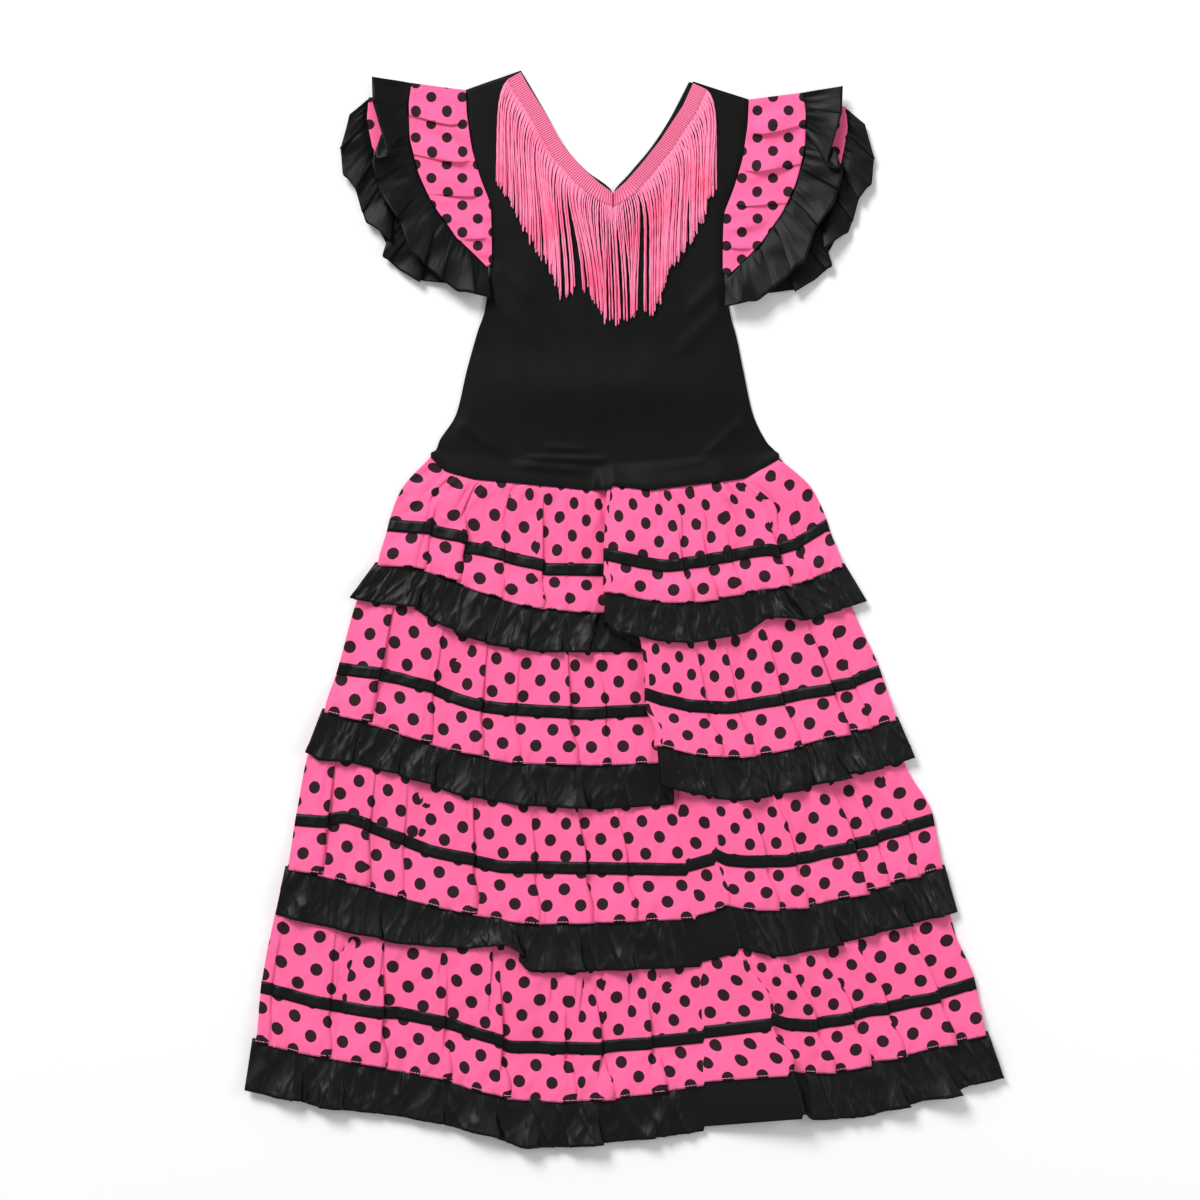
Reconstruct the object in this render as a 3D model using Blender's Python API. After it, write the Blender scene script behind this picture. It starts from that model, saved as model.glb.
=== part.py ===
"""A child's flamenco dress laid flat on its back, built piece by piece as it is cut and sewn.

X runs to the right, Y runs up the dress from hem to neck, and Z is up from the surface it lies on.
Lines across the dress are given on a plan grid of GRID metres a square, counted to the right and
down from the top left corner of the plan, and place() turns them into metres.
"""
import math

import bmesh
import bpy

# Driving sizes, in metres
GRID = 0.0008
PLAN_CENTRE = (624.5, 608.5)
WALL = 0.0010
WAVED_WALL = 0.0012
GAP = 0.0003
RIBBON_WIDTH = 0.0100
RIBBON_WALL = 0.0006
STRIP_WIDTH = 0.0120
HEM_OVERLAP = 0.0030
WAIST_LAP = 0.0025
STRAND_HALF = 0.0006
STRAND_BEND = 0.003
MM = 0.001

# Heights of the layers, each a wall and a gap above the one before
LAYER = WALL + GAP
SKIRT_LAYER = WALL + 0.0005
BACK_OUTER = 0.0
BACK_INNER = LAYER
FRONT = 2.0 * LAYER
HEM = 2.0 * SKIRT_LAYER + GAP

# Fold, a row for each line across the skirt: where the left part turns up and where the right part
# turns over, on the plan grid, then the two bend radii and the height of the right part, in mm
FOLD = {
    "waist": (618, 608, 1.8, 0.6, 4.8),
    "hip": (627, 606, 3.0, 0.6, 7.2),
    "ribbon_1": (635, 605, 4.6, 0.6, 10.4),
    "seam_1": (648, 608, 4.6, 0.6, 10.4),
    "free_1": (645, 606, 4.6, 0.6, 10.4),
    "top_2": (651, 614, 4.6, 0.6, 10.4),
    "shown_2": (655, 641, 4.6, 0.6, 10.4),
    "ribbon_2": (662, 646, 4.6, 0.6, 10.4),
    "seam_2": (674, 659, 4.6, 0.6, 10.4),
    "free_2": (676, 663, 4.4, 0.8, 10.4),
    "top_3": (678, 664, 4.6, 0.6, 10.4),
    "shown_3": (684, 699, 6.0, 2.0, 10.4),
    "ribbon_3": (693, 712, 6.0, 3.0, 11.0),
    "seam_3": (703, 722, 6.0, 3.0, 11.0),
    "free_3": (708, 735, 7.0, 3.0, 12.0),
    "top_4": (702.7, 721.2, 5.9, 3.0, 10.9),
    "shown_4": (708, 735, 7.0, 3.0, 12.0),
    "ribbon_4": (712, 766, 8.0, 4.0, 14.0),
    "seam_4": (713, 783, 8.0, 4.0, 14.0),
    "free_4": (713, 797, 8.0, 4.0, 14.0),
}

# Lines across the skirt front, left part then right part, as (across, down) on the plan grid
LINES = {
    "waist": (
        ((430, 456), (445, 471), (475, 479), (530, 484), (590, 490), (618, 489)),
        ((608, 485), (650, 490), (690, 485), (745, 478), (764, 467), (780, 458)),
    ),
    "hip": (
        ((402, 489), (430, 497), (457, 503), (530, 519), (590, 524), (627, 524)),
        ((606, 517), (650, 523), (700, 520), (765, 511), (795, 500), (812, 489)),
    ),
    "ribbon_1": (
        ((390, 519), (425, 522), (456, 531), (459, 540), (480, 543), (530, 557), (545, 563), (635, 564)),
        ((605, 548), (640, 556), (665, 560), (700, 555), (765, 543), (768, 547), (800, 535), (826, 519)),
    ),
    "seam_1": (
        ((378, 566), (412, 567), (430, 573), (460, 585), (500, 599), (530, 608), (590, 613), (648, 612)),
        ((608, 592), (640, 599), (665, 603), (700, 602), (760, 590), (800, 583), (820, 575), (842, 567)),
    ),
    "free_1": (
        ((350, 598), (380, 604), (412, 607), (430, 618), (460, 635), (490, 645), (540, 652), (645, 652)),
        ((604, 618), (612, 631), (660, 641), (690, 643), (745, 633), (770, 617), (805, 621), (866, 601)),
    ),
    "ribbon_2": (
        ((340, 662), (372, 667), (400, 672), (430, 681), (470, 698), (500, 702), (580, 707), (662, 703)),
        ((646, 687), (660, 692), (690, 699), (725, 701), (750, 698), (790, 690), (850, 676), (878, 665)),
    ),
    "seam_2": (
        ((325, 712), (345, 717), (380, 727), (420, 741), (450, 750), (510, 763), (600, 765), (674, 762)),
        ((659, 745), (680, 750), (700, 755), (740, 757), (775, 752), (835, 735), (870, 727), (895, 720)),
    ),
    "free_2": (
        ((306, 752), (320, 760), (350, 762), (400, 775), (460, 795), (520, 805), (600, 809), (676, 804)),
        ((663, 785), (690, 792), (720, 798), (740, 800), (800, 790), (845, 775), (880, 768), (914, 757)),
    ),
    "ribbon_3": (
        ((297, 813), (318, 815), (345, 810), (370, 820), (430, 844), (500, 860), (575, 861), (693, 863)),
        ((712, 845), (725, 852), (745, 854), (780, 854), (810, 850), (870, 833), (900, 822), (932, 813)),
    ),
    "seam_3": (
        ((288, 869), (310, 873), (340, 880), (400, 897), (465, 913), (530, 924), (620, 921), (703, 918)),
        ((722, 902), (745, 908), (770, 909), (800, 907), (830, 900), (860, 893), (890, 882), (942, 868)),
    ),
    "free_3": (
        ((276, 914), (330, 927), (400, 943), (470, 948), (500, 943), (530, 971), (560, 971), (708, 966)),
        ((735, 945), (745, 947), (765, 953), (780, 955), (810, 950), (850, 940), (900, 926), (956, 911)),
    ),
    "ribbon_4": (
        ((261, 980), (320, 996), (370, 1005), (400, 1006), (455, 1018), (510, 1040), (592, 1041), (712, 1029)),
        ((766, 1008), (785, 1016), (810, 1018), (840, 1012), (870, 1003), (890, 1000), (920, 993), (973, 976)),
    ),
    "seam_4": (
        ((255, 1041), (300, 1052), (370, 1065), (440, 1078), (505, 1098), (560, 1101), (610, 1098), (713, 1083)),
        ((783, 1067), (800, 1071), (830, 1072), (850, 1068), (875, 1060), (895, 1057), (950, 1042), (985, 1034)),
    ),
    "free_4": (
        ((245, 1089), (330, 1107), (400, 1115), (460, 1127), (525, 1146), (560, 1146), (640, 1138), (713, 1129)),
        ((797, 1110), (805, 1117), (820, 1118), (860, 1116), (890, 1108), (943, 1095), (970, 1084), (1003, 1077)),
    ),
}

# Where the folded part starts to sink back to its level past the fold, and over what distance, in
# plan squares
SINK_START = 10.0
SINK_RUN = 115.0

# Tiers, a row each: the lines it runs over, and where its sides pass under the ruffle above
TIERS = (
    ("waist", "hip", "ribbon_1", "seam_1", None, None),
    ("seam_1", "shown_2", "ribbon_2", "seam_2", 357, 852),
    ("seam_2", "shown_3", "ribbon_3", "seam_3", 308, 904),
    ("seam_3", "shown_4", "ribbon_4", "seam_4", 274, 948),
)

# Pleats, a row each: place on its tier's ribbon line, height in mm, and run of its long slope
PLEATS = (
    ((427, 2.5, 24), (457, 3.5, 20), (500, 2.0, 26), (535, 2.5, 22), (563, 2.0, 18),
     (675, 2.0, 20), (700, 2.5, 18), (725, 2.0, 18), (767, 3.5, 24), (790, 2.5, 14)),
    ((373, 3.5, 24), (430, 2.5, 30), (475, 3.0, 26), (512, 2.0, 24), (560, 4.0, 26), (600, 2.5, 26),
     (700, 2.5, 22), (732, 2.0, 20), (775, 2.5, 24), (820, 4.0, 26), (846, 2.0, 16)),
    ((319, 4.0, 20), (365, 2.5, 28), (400, 2.5, 24), (467, 3.0, 32), (530, 2.5, 30), (576, 4.5, 28),
     (622, 3.0, 28), (760, 2.5, 18), (788, 2.5, 20), (845, 3.5, 28), (870, 2.5, 18), (900, 2.5, 20)),
    ((325, 3.0, 28), (374, 4.5, 30), (440, 3.0, 32), (493, 4.5, 32), (560, 3.0, 30), (592, 4.0, 22),
     (645, 3.5, 30), (810, 3.0, 20), (845, 3.5, 24), (880, 3.0, 22), (930, 3.5, 26)),
)
PLEAT_DROP = 6.0
WIDEST_COLUMN = 22.0
CLOSEST_COLUMN = 5.0

# How far pleats and waves stay off the fold, and over what distance they grow from there, in squares
PLEAT_CLEAR = 22.0
PLEAT_GROW = 20.0
FOLD_CLEAR = 9.0
FOLD_SIDE = 6.0
WAVE_GROW = 22.0

# A tier's rows: how much of its pleats each one has, and its steps under and over the seams, in laps
SHOWN_PLEAT = 0.4
HEM_PLEAT = 0.7
TUCK = 1.7
HEM_TURN = 2.7
UNDER_RUFFLE = 2.0
SIDE_TURN = 2.0

# Ruffle waves, a row for each ruffle: waves left and right of the fold, lowest and highest rise in mm
WAVES = (
    (13, 13, 2.6, 7.0),
    (15, 12, 2.6, 8.0),
    (16, 11, 2.6, 9.0),
    (15, 8, 1.2, 10.0),
)
WAVE_START = 0.45
WAVE_SHARE = 0.25
WAVE_SWELL = 0.25

# Skirt back, a row for each line: left end, right end and the middle's depth, on the plan grid
BACK_LINES = {
    "waist": ((434, 462), (776, 463), 486),
    "ribbon_1": ((394, 521), (822, 521), 556),
    "seam_1": ((382, 567), (838, 567), 603),
    "free_1": ((356, 600), (860, 600), 640),
    "ribbon_2": ((344, 664), (874, 665), 698),
    "seam_2": ((329, 713), (891, 720), 757),
    "free_2": ((312, 753), (908, 757), 798),
    "ribbon_3": ((301, 813), (928, 813), 855),
    "seam_3": ((292, 869), (938, 868), 915),
    "free_3": ((281, 914), (951, 911), 956),
    "ribbon_4": ((265, 980), (969, 977), 1026),
    "seam_4": ((259, 1041), (981, 1034), 1086),
    "free_4": ((250, 1086), (998, 1075), 1128),
}

# Bodice sides from waist to underarm, with the centre line beside them, then the neck from the
# centre up to the shoulder, a point for each point of the armhole
BODICE_SIDE = {
    "left": ((436, 450), (440, 440), (456, 415), (467, 370), (478, 331), (485, 310)),
    "right": ((774, 450), (768, 444), (753, 415), (743, 370), (736, 336), (731, 318)),
}
BODICE_CENTRE = ((607, 463), (607, 440), (607, 412), (608, 365), (609, 330), (610, 310))
BODICE_NECK = {
    "left": ((611, 250), (612, 222), (613, 195), (585, 170), (565, 147), (545, 112), (521, 71)),
    "right": ((611, 250), (612, 222), (613, 195), (633, 174), (654, 149), (672, 122), (693, 82)),
}
BACK_NECK_INSET = {"left": 0.0, "right": 4.0}
BODICE_ENDS = {"left": 431, "right": 779}

# The bodice front swells between the fringe and the waist, and steps over the top of the fold
BODICE_MIDDLE = 609
BODICE_HALF = 0.105
BODICE_BULGE = 0.0035
BULGE_GROW = 0.05
FRINGE_END = 336
BULGE_END = 440
WAIST_CLEAR = 1.12
WAIST_STEP = (16.0, 11.0)

# Left sleeve curves from the shoulder down to the underarm; the right sleeve is its mirror image
ARMHOLE = ((464, 91), (465, 115), (470, 150), (479, 180), (489, 205), (490, 235), (490, 264))
UPPER_SEAM = ((412, 84), (409, 105), (410, 140), (419, 175), (433, 205), (457, 238), (487, 267))
UPPER_FREE = ((373, 80), (374, 105), (383, 135), (373, 165), (381, 195), (400, 222), (408, 245),
              (427, 268), (455, 291), (488, 299))
LOWER_SEAM = ((369, 98), (367, 120), (372, 145), (379, 178), (391, 205), (425, 250), (458, 272))
LOWER_FREE = ((350, 116), (341, 150), (343, 172), (356, 190), (361, 208), (366, 222), (388, 238),
              (383, 256), (399, 270), (415, 280), (448, 284))
SLEEVE_MIRROR = 607.3
SLEEVE_DROP = 9.5
SLEEVE_WAVES = 6
SLEEVE_PART = 1.2
SLEEVE_LAP = 2.0
BACK_STEP = 3.5
UPPER_LEVEL = FRONT + 0.5 * LAYER

# Sleeve ruffles: lowest and highest rise of the free edge in mm, and where their waves start
LOWER_WAVES = (0.5, 7.0, 0.6)
UPPER_WAVES = (7.5, 13.0, 2.2)

# Fringe, left side: the neck edge it is sewn along, and where its strands end
NECK_LEFT = ((521, 73), (528, 86), (545, 113), (565, 148), (585, 171), (600, 184), (610.5, 193))
TIPS_LEFT = ((496, 182), (512, 205), (520, 222), (530, 242), (540, 257), (548, 264), (555, 282),
             (563, 300), (577, 291), (588, 292), (597, 307), (607, 322), (616, 322))
NECK_RIGHT = ((693, 84), (683, 106), (660, 141), (641, 165), (626, 182), (615.5, 193))
TIPS_RIGHT = ((717, 190), (706, 202), (702, 222), (690, 242), (680, 257), (668, 272), (660, 298),
              (652, 314), (642, 312), (634, 317), (628, 321), (621, 322))
STRANDS = 30
STRAND_SHARE = 0.30
EDGE_REACH = 0.06
FAN_START = 0.84

# Finishes: colour in linear light and roughness
FINISHES = {
    "pink_cloth": ((0.93, 0.12, 0.35, 1.0), 0.75),
    "black_knit": ((0.009, 0.009, 0.010, 1.0), 0.85),
    "black_satin": ((0.012, 0.012, 0.013, 1.0), 0.40),
    "pink_fringe": ((0.85, 0.14, 0.27, 1.0), 0.60),
}


def clear_scene():
    """Remove every object that the scene starts with."""
    for thing in list(bpy.data.objects):
        bpy.data.objects.remove(thing, do_unlink=True)


def finish(name):
    """One of the dress's materials, made the first time it is asked for."""
    found = bpy.data.materials.get(name)
    if found:
        return found
    colour, roughness = FINISHES[name]
    material = bpy.data.materials.new(name)
    material.use_nodes = True
    shader = material.node_tree.nodes["Principled BSDF"]
    shader.inputs["Base Color"].default_value = colour
    shader.inputs["Roughness"].default_value = roughness
    shader.inputs["Metallic"].default_value = 0.0
    return material


def place(across, down):
    """A plan grid point in metres."""
    return (across - PLAN_CENTRE[0]) * GRID, (PLAN_CENTRE[1] - down) * GRID


def smooth(value):
    """A soft step from 0 to 1."""
    value = min(max(value, 0.0), 1.0)
    return value * value * (3.0 - 2.0 * value)


def depth_at(line, across):
    """The depth of a line at a place across it."""
    if across <= line[0][0]:
        return line[0][1]
    for (x0, y0), (x1, y1) in zip(line, line[1:]):
        if across <= x1:
            return y0 + (y1 - y0) * (across - x0) / (x1 - x0)
    return line[-1][1]


def along(curve, share):
    """The point at a share of a curve's length."""
    spans = [math.dist(a, b) for a, b in zip(curve, curve[1:])]
    left = share * sum(spans)
    for (a, b), span in zip(zip(curve, curve[1:]), spans):
        if left <= span:
            return tuple(p + (q - p) * left / span for p, q in zip(a, b))
        left -= span
    return curve[-1]


def add_object(name, shell, material):
    """Turn a closed shell into a named object."""
    bmesh.ops.recalc_face_normals(shell, faces=shell.faces)
    mesh = bpy.data.meshes.new(name)
    shell.to_mesh(mesh)
    shell.free()
    mesh.materials.append(finish(material))
    thing = bpy.data.objects.new(name, mesh)
    bpy.context.scene.collection.objects.link(thing)
    return thing


def lean(row):
    """For each point of a row, the way out of the cloth in the X-Z section, with its mitre length."""
    ways = []
    for i, point in enumerate(row):
        before = row[max(i - 1, 0)]
        after = row[min(i + 1, len(row) - 1)]
        pair = []
        for a, b in ((before, point), (point, after)):
            run = b[0] - a[0]
            rise = b[2] - a[2]
            size = math.hypot(run, rise)
            if size > 0.0:
                pair.append((-rise / size, run / size))
        x = sum(way[0] for way in pair) / len(pair)
        z = sum(way[1] for way in pair) / len(pair)
        size = max(x * x + z * z, 0.35)
        ways.append((x / size, z / size))
    return ways


def wall_shell(grids, low, high, upright=False):
    """A closed wall over grids of points, from height low to height high off them.

    Grids that share points are one sheet. Both faces are cut along the same diagonals, and every
    edge that only one triangle has gets a rim.
    """
    known = {}
    points = []
    triangles = []
    for grid in grids:
        numbers = []
        for row in grid:
            ways = [(0.0, 1.0)] * len(row) if upright else lean(row)
            line = []
            for point, way in zip(row, ways):
                key = tuple(round(value, 6) for value in point)
                if key not in known:
                    known[key] = len(points)
                    points.append((point, way))
                line.append(known[key])
            numbers.append(line)
        for top, bottom in zip(numbers, numbers[1:]):
            for i in range(len(top) - 1):
                for corners in ((top[i], bottom[i], bottom[i + 1]), (top[i], bottom[i + 1], top[i + 1])):
                    if len(set(corners)) == 3:
                        triangles.append(corners)
    shell = bmesh.new()
    layers = []
    for height in (high, low):
        layers.append([shell.verts.new((x + way[0] * height, y, z + way[1] * height))
                       for (x, y, z), way in points])
    outer, inner = layers
    once = {}
    for a, b, c in triangles:
        shell.faces.new((outer[a], outer[b], outer[c]))
        shell.faces.new((inner[c], inner[b], inner[a]))
        for edge in ((a, b), (b, c), (c, a)):
            if edge[::-1] in once:
                del once[edge[::-1]]
            elif edge in once:
                del once[edge]
            else:
                once[edge] = True
    for a, b in once:
        shell.faces.new((outer[b], outer[a], inner[a], inner[b]))
    return shell


def fold_path(valley, ridge, turn_up, turn_over, lift):
    """The section of the big fold from the left part's level to the right part's, in metres.

    The cloth bends up about one centre, runs straight, and bends back about another.
    """
    reach = turn_up + turn_over
    start = valley - turn_up
    end = ridge + turn_over
    run = end - start
    rise = lift - reach
    straight = math.sqrt(max(run * run + rise * rise - reach * reach, 1e-12))
    swing = math.atan2(rise, run) + math.atan2(reach, straight)
    path = []
    for step in range(4):
        angle = swing * step / 3
        path.append((start + turn_up * math.sin(angle), turn_up * (1.0 - math.cos(angle))))
    for step in range(3, -1, -1):
        angle = swing * step / 3
        path.append((end - turn_over * math.sin(angle), lift - turn_over * (1.0 - math.cos(angle))))
    return path


def skirt_row(line, fold, columns, off, ends=None, shift=0.0, rise=None, drop_from=None):
    """One row of points across the skirt front.

    fold names a row of FOLD, columns are the shares across the left and the right part,
    off is how far the row stands off the lowest layer, square to the cloth, ends narrow the row to
    its own sides, shift moves it down the dress in plan squares, and rise gives the extra height at
    a place across.
    """
    left, right = LINES[line]
    valley, ridge, turn_up, turn_over, lift = FOLD[fold]
    turn_up, turn_over, lift = turn_up * MM, turn_over * MM, lift * MM
    low_end = ends[0] if ends else left[0][0]
    high_end = ends[1] if ends else right[-1][0]
    up_at = valley - turn_up / GRID
    over_at = ridge + turn_over / GRID
    fall_at = (drop_from or valley) + SINK_START
    row = []
    for share in columns[0]:
        across = low_end + (up_at - low_end) * share
        x, y = place(across, depth_at(left, across) + shift)
        row.append((x, y, FRONT + (rise(across, 0, ridge) if rise else 0.0)))
    path = fold_path(place(valley, 0)[0], place(ridge, 0)[0], turn_up, turn_over, lift)
    start_down = depth_at(left, up_at) + shift
    end_down = depth_at(right, over_at) + shift
    for i, (x, z) in enumerate(path[1:-1], 1):
        y = place(0, start_down + (end_down - start_down) * smooth(i / (len(path) - 1)))[1]
        row.append((x, y, FRONT + z))
    for share in columns[1]:
        across = over_at + (high_end - over_at) * share
        x, y = place(across, depth_at(right, across) + shift)
        height = lift * (1.0 - smooth((across - fall_at) / SINK_RUN))
        row.append((x, y, FRONT + height + (rise(across, 1, ridge) if rise else 0.0)))
    return [(x + way[0] * off, y, z + way[1] * off) for (x, y, z), way in zip(row, lean(row))]


def pleat_columns(tier):
    """Shares across the left and right part of a tier, so that each pleat has its own points."""
    left, right = LINES[TIERS[tier][2]]
    valley, ridge, turn_up, turn_over, _ = FOLD[TIERS[tier][2]]
    spans = ((left[0][0], valley - turn_up * MM / GRID), (ridge + turn_over * MM / GRID, right[-1][0]))
    both = []
    for first, last in spans:
        places = [first, last]
        for at, _height, run in PLEATS[tier]:
            for spot in (at - 0.7 * run, at, at + PLEAT_DROP):
                if first + 3.0 < spot < last - 3.0:
                    places.append(spot)
        places.sort()
        kept = [places[0]]
        for spot in places[1:]:
            if spot - kept[-1] >= CLOSEST_COLUMN:
                kept.append(spot)
        kept[-1] = last
        filled = [first]
        for spot in kept[1:]:
            parts = math.ceil((spot - filled[-1]) / WIDEST_COLUMN)
            start = filled[-1]
            filled += [start + (spot - start) * (i + 1) / parts for i in range(parts)]
        both.append([(spot - first) / (last - first) for spot in filled])
    return both


def pleat_rise(tier, weight, ends, cover=None):
    """The height that a tier's pleats add on a row, by place across it.

    cover is where the fold of the ruffle above starts, if it lies over this row.
    """
    left, right = LINES[TIERS[tier][2]]
    here = ends or (left[0][0], right[-1][0])

    def rise(across, side, ridge):
        valley, turned = FOLD[TIERS[tier][2]][:2]
        if side == 0:
            share = (across - here[0]) / (ridge - here[0])
            spot = left[0][0] + share * (turned - left[0][0])
            last = min(ridge, cover or ridge, turned - FOLD_CLEAR) - PLEAT_CLEAR
            clear = smooth((last - across) / PLEAT_GROW)
        else:
            share = (here[1] - across) / (here[1] - ridge)
            spot = right[-1][0] - share * (right[-1][0] - turned)
            clear = smooth((across - max(ridge, valley) - FOLD_SIDE) / PLEAT_GROW)
        best = 0.0
        for at, height, run in PLEATS[tier]:
            reach = run if spot < at else PLEAT_DROP
            best = max(best, height * (1.0 - abs(spot - at) / reach))
        return MM * best * weight * clear

    return rise


def tier_rows(tier):
    """The rows of a tier's front: top, under the ruffle above, ribbon top and bottom, hem turn, hem."""
    top, shown, ribbon, seam, shown_left, shown_right = TIERS[tier]
    columns = pleat_columns(tier)
    width = RIBBON_WIDTH / GRID
    lap = HEM_OVERLAP / GRID
    top_ends = (LINES[top][0][0][0] + 1.0, LINES[top][1][-1][0] - 1.0)
    seam_ends = (LINES[seam][0][0][0], LINES[seam][1][-1][0])
    ribbon_ends = (LINES[ribbon][0][0][0], LINES[ribbon][1][-1][0])
    below = LINES[seam][0][0][1] - LINES[ribbon][0][0][1]
    slope = [(b - a) * width / below for a, b in zip(ribbon_ends, seam_ends)]
    low_ends = (ribbon_ends[0] + slope[0], ribbon_ends[1] + slope[1])
    turn_ends = (seam_ends[0] + SIDE_TURN, seam_ends[1] - SIDE_TURN)
    shown_ends = (shown_left, shown_right) if shown_left else None
    shown_line = f"free_{tier}" if tier else shown
    cover = FOLD[shown_line][1] if tier else None
    top_fold = f"top_{tier + 1}" if tier else top
    tuck = -TUCK * lap if tier else 0.0
    rows = [skirt_row(top, top_fold, columns, 0.0, top_ends, tuck, None, FOLD[top][0])]
    rows.append(skirt_row(shown_line, shown, columns, 0.0, shown_ends, UNDER_RUFFLE if tier else 0.0,
                          pleat_rise(tier, SHOWN_PLEAT, shown_ends, cover)))
    rows.append(skirt_row(ribbon, ribbon, columns, 0.0, None, 0.0, pleat_rise(tier, 1.0, None)))
    rows.append(skirt_row(ribbon, ribbon, columns, 0.0, low_ends, width, pleat_rise(tier, 1.0, low_ends)))
    rise = pleat_rise(tier, HEM_PLEAT, turn_ends)
    rows.append(skirt_row(seam, seam, columns, HEM, turn_ends, -HEM_TURN * lap, rise))
    rise = pleat_rise(tier, HEM_PLEAT, seam_ends)
    rows.append(skirt_row(seam, seam, columns, HEM, seam_ends, 0.0, rise))
    return rows


def wave_rise(ruffle):
    """The height that a ruffle's waves add on its free edge, by place across it."""
    left_count, right_count, lowest, highest = WAVES[ruffle]
    left, right = LINES[f"free_{ruffle + 1}"]
    valley = FOLD[f"free_{ruffle + 1}"][0]

    def rise(across, side, ridge):
        if side == 0:
            share = (across - left[0][0]) / (ridge - left[0][0])
            count = left_count
            clear = smooth((min(ridge, valley - FOLD_CLEAR) - FOLD_SIDE - across) / WAVE_GROW)
        else:
            share = (right[-1][0] - across) / (right[-1][0] - ridge)
            count = right_count
            clear = smooth((across - ridge - FOLD_SIDE) / WAVE_GROW)
        phase = 2.0 * math.pi * count * (share + 0.012 * math.sin(9.0 * share + ruffle))
        swell = 1.0 - WAVE_SWELL + WAVE_SWELL * math.sin(7.0 * share + 2.0 * ruffle + side)
        height = lowest + (highest - lowest) * swell * (0.5 - 0.5 * math.cos(phase))
        return MM * height * clear

    return rise


def ruffle_rows(ruffle):
    """The rows of a ruffle's front: under the tier's hem, where it leaves it, and its free edge."""
    seam, free = f"seam_{ruffle + 1}", f"free_{ruffle + 1}"
    left_count, right_count = WAVES[ruffle][:2]
    columns = [[i / (3 * count) for i in range(3 * count + 1)] for count in (left_count, right_count)]
    lap = HEM_OVERLAP / GRID
    seam_ends = (LINES[seam][0][0][0] - SIDE_TURN, LINES[seam][1][-1][0] + SIDE_TURN)
    below = FOLD[TIERS[ruffle + 1][1]][0] if ruffle < 3 else None
    root = skirt_row(seam, seam, columns, SKIRT_LAYER, seam_ends, -lap)
    flat = skirt_row(free, free, columns, SKIRT_LAYER, None, 0.0, None, below)
    edge = skirt_row(free, free, columns, SKIRT_LAYER, None, 0.0, wave_rise(ruffle), below)
    middle = []
    for a, b, c in zip(root, flat, edge):
        middle.append(tuple(p + (q - p) * WAVE_START + (r - q) * WAVE_SHARE for p, q, r in zip(a, b, c)))
    return [root, middle, edge]


def back_row(name, shift, inset=0.0, height=0.0, count=8):
    """One row across the skirt back, a shallow bow between its two ends."""
    (x0, y0), (x1, y1), middle = BACK_LINES[name]
    row = []
    for i in range(count + 1):
        share = i / count
        bow = 4.0 * share * (1.0 - share)
        down = y0 + (y1 - y0) * share + (middle - 0.5 * (y0 + y1)) * bow
        x, y = place(x0 + inset + (x1 - x0 - 2.0 * inset) * share, down)
        row.append((x, y + shift, height))
    return row


def build_skirt():
    """Four tiers, each with its ribbon and its ruffle, front and back."""
    top = "waist"
    for tier in range(4):
        number = tier + 1
        rows = tier_rows(tier)
        add_object(f"tier_{number}_front", wall_shell([rows], 0.0, WALL), "pink_cloth")
        ribbon = wall_shell([rows[2:4]], LAYER, LAYER + RIBBON_WALL)
        add_object(f"ribbon_{number}_front", ribbon, "black_satin")
        ruffle = wall_shell([ruffle_rows(tier)], 0.0, WALL)
        add_object(f"ruffle_{number}_front", ruffle, "black_satin")

        seam, free, line = f"seam_{number}", f"free_{number}", f"ribbon_{number}"
        half = 0.5 * GAP
        back = [back_row(top, -half), back_row(seam, half)]
        back = [[(x, y, BACK_INNER) for x, y, _z in row] for row in back]
        add_object(f"tier_{number}_back", wall_shell([back], 0.0, WALL), "pink_cloth")
        edge = [back_row(seam, 2.0 * half + 0.001), back_row(free, 0.0)]
        add_object(f"ruffle_{number}_back", wall_shell([edge], BACK_OUTER, WALL), "black_satin")
        band = [back_row(line, 0.0, 1.5), back_row(line, -RIBBON_WIDTH, 0.0)]
        add_object(f"ribbon_{number}_back", wall_shell([band], WALL - RIBBON_WALL, WALL), "black_satin")
        top = seam


def bodice_height(x, y):
    """How far the bodice front stands above its edges: a soft swell, with a bow towards the waist."""
    centre = place(BODICE_MIDDLE, 0)[0]
    across = max(0.0, 1.0 - ((x - centre) / BODICE_HALF) ** 2)
    top = place(0, FRINGE_END)[1]
    low = place(0, BULGE_END)[1]
    down = smooth((top - y) / BULGE_GROW) * (1.0 - smooth((low + BULGE_GROW - y) / BULGE_GROW))
    return BODICE_BULGE * across * down


def waist_height(x):
    """The height of the bodice's lower edge, which passes over the top of the first tier's fold."""
    _valley, ridge, _up, _over, lift = FOLD["waist"]
    across = x / GRID + PLAN_CENTRE[0]
    reach, run = WAIST_STEP
    fall_at = FOLD["waist"][0] + reach
    step = smooth((across - ridge + reach) / run) * (1.0 - smooth((across - fall_at) / SINK_RUN))
    return FRONT + LAYER + WAIST_CLEAR * MM * lift * step


def sleeve_place(point, side):
    """A left sleeve plan point on its own side, in metres."""
    across, down = point
    if side == "right":
        across = 2.0 * SLEEVE_MIRROR - across
        down += SLEEVE_DROP
    return place(across, down)


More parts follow.
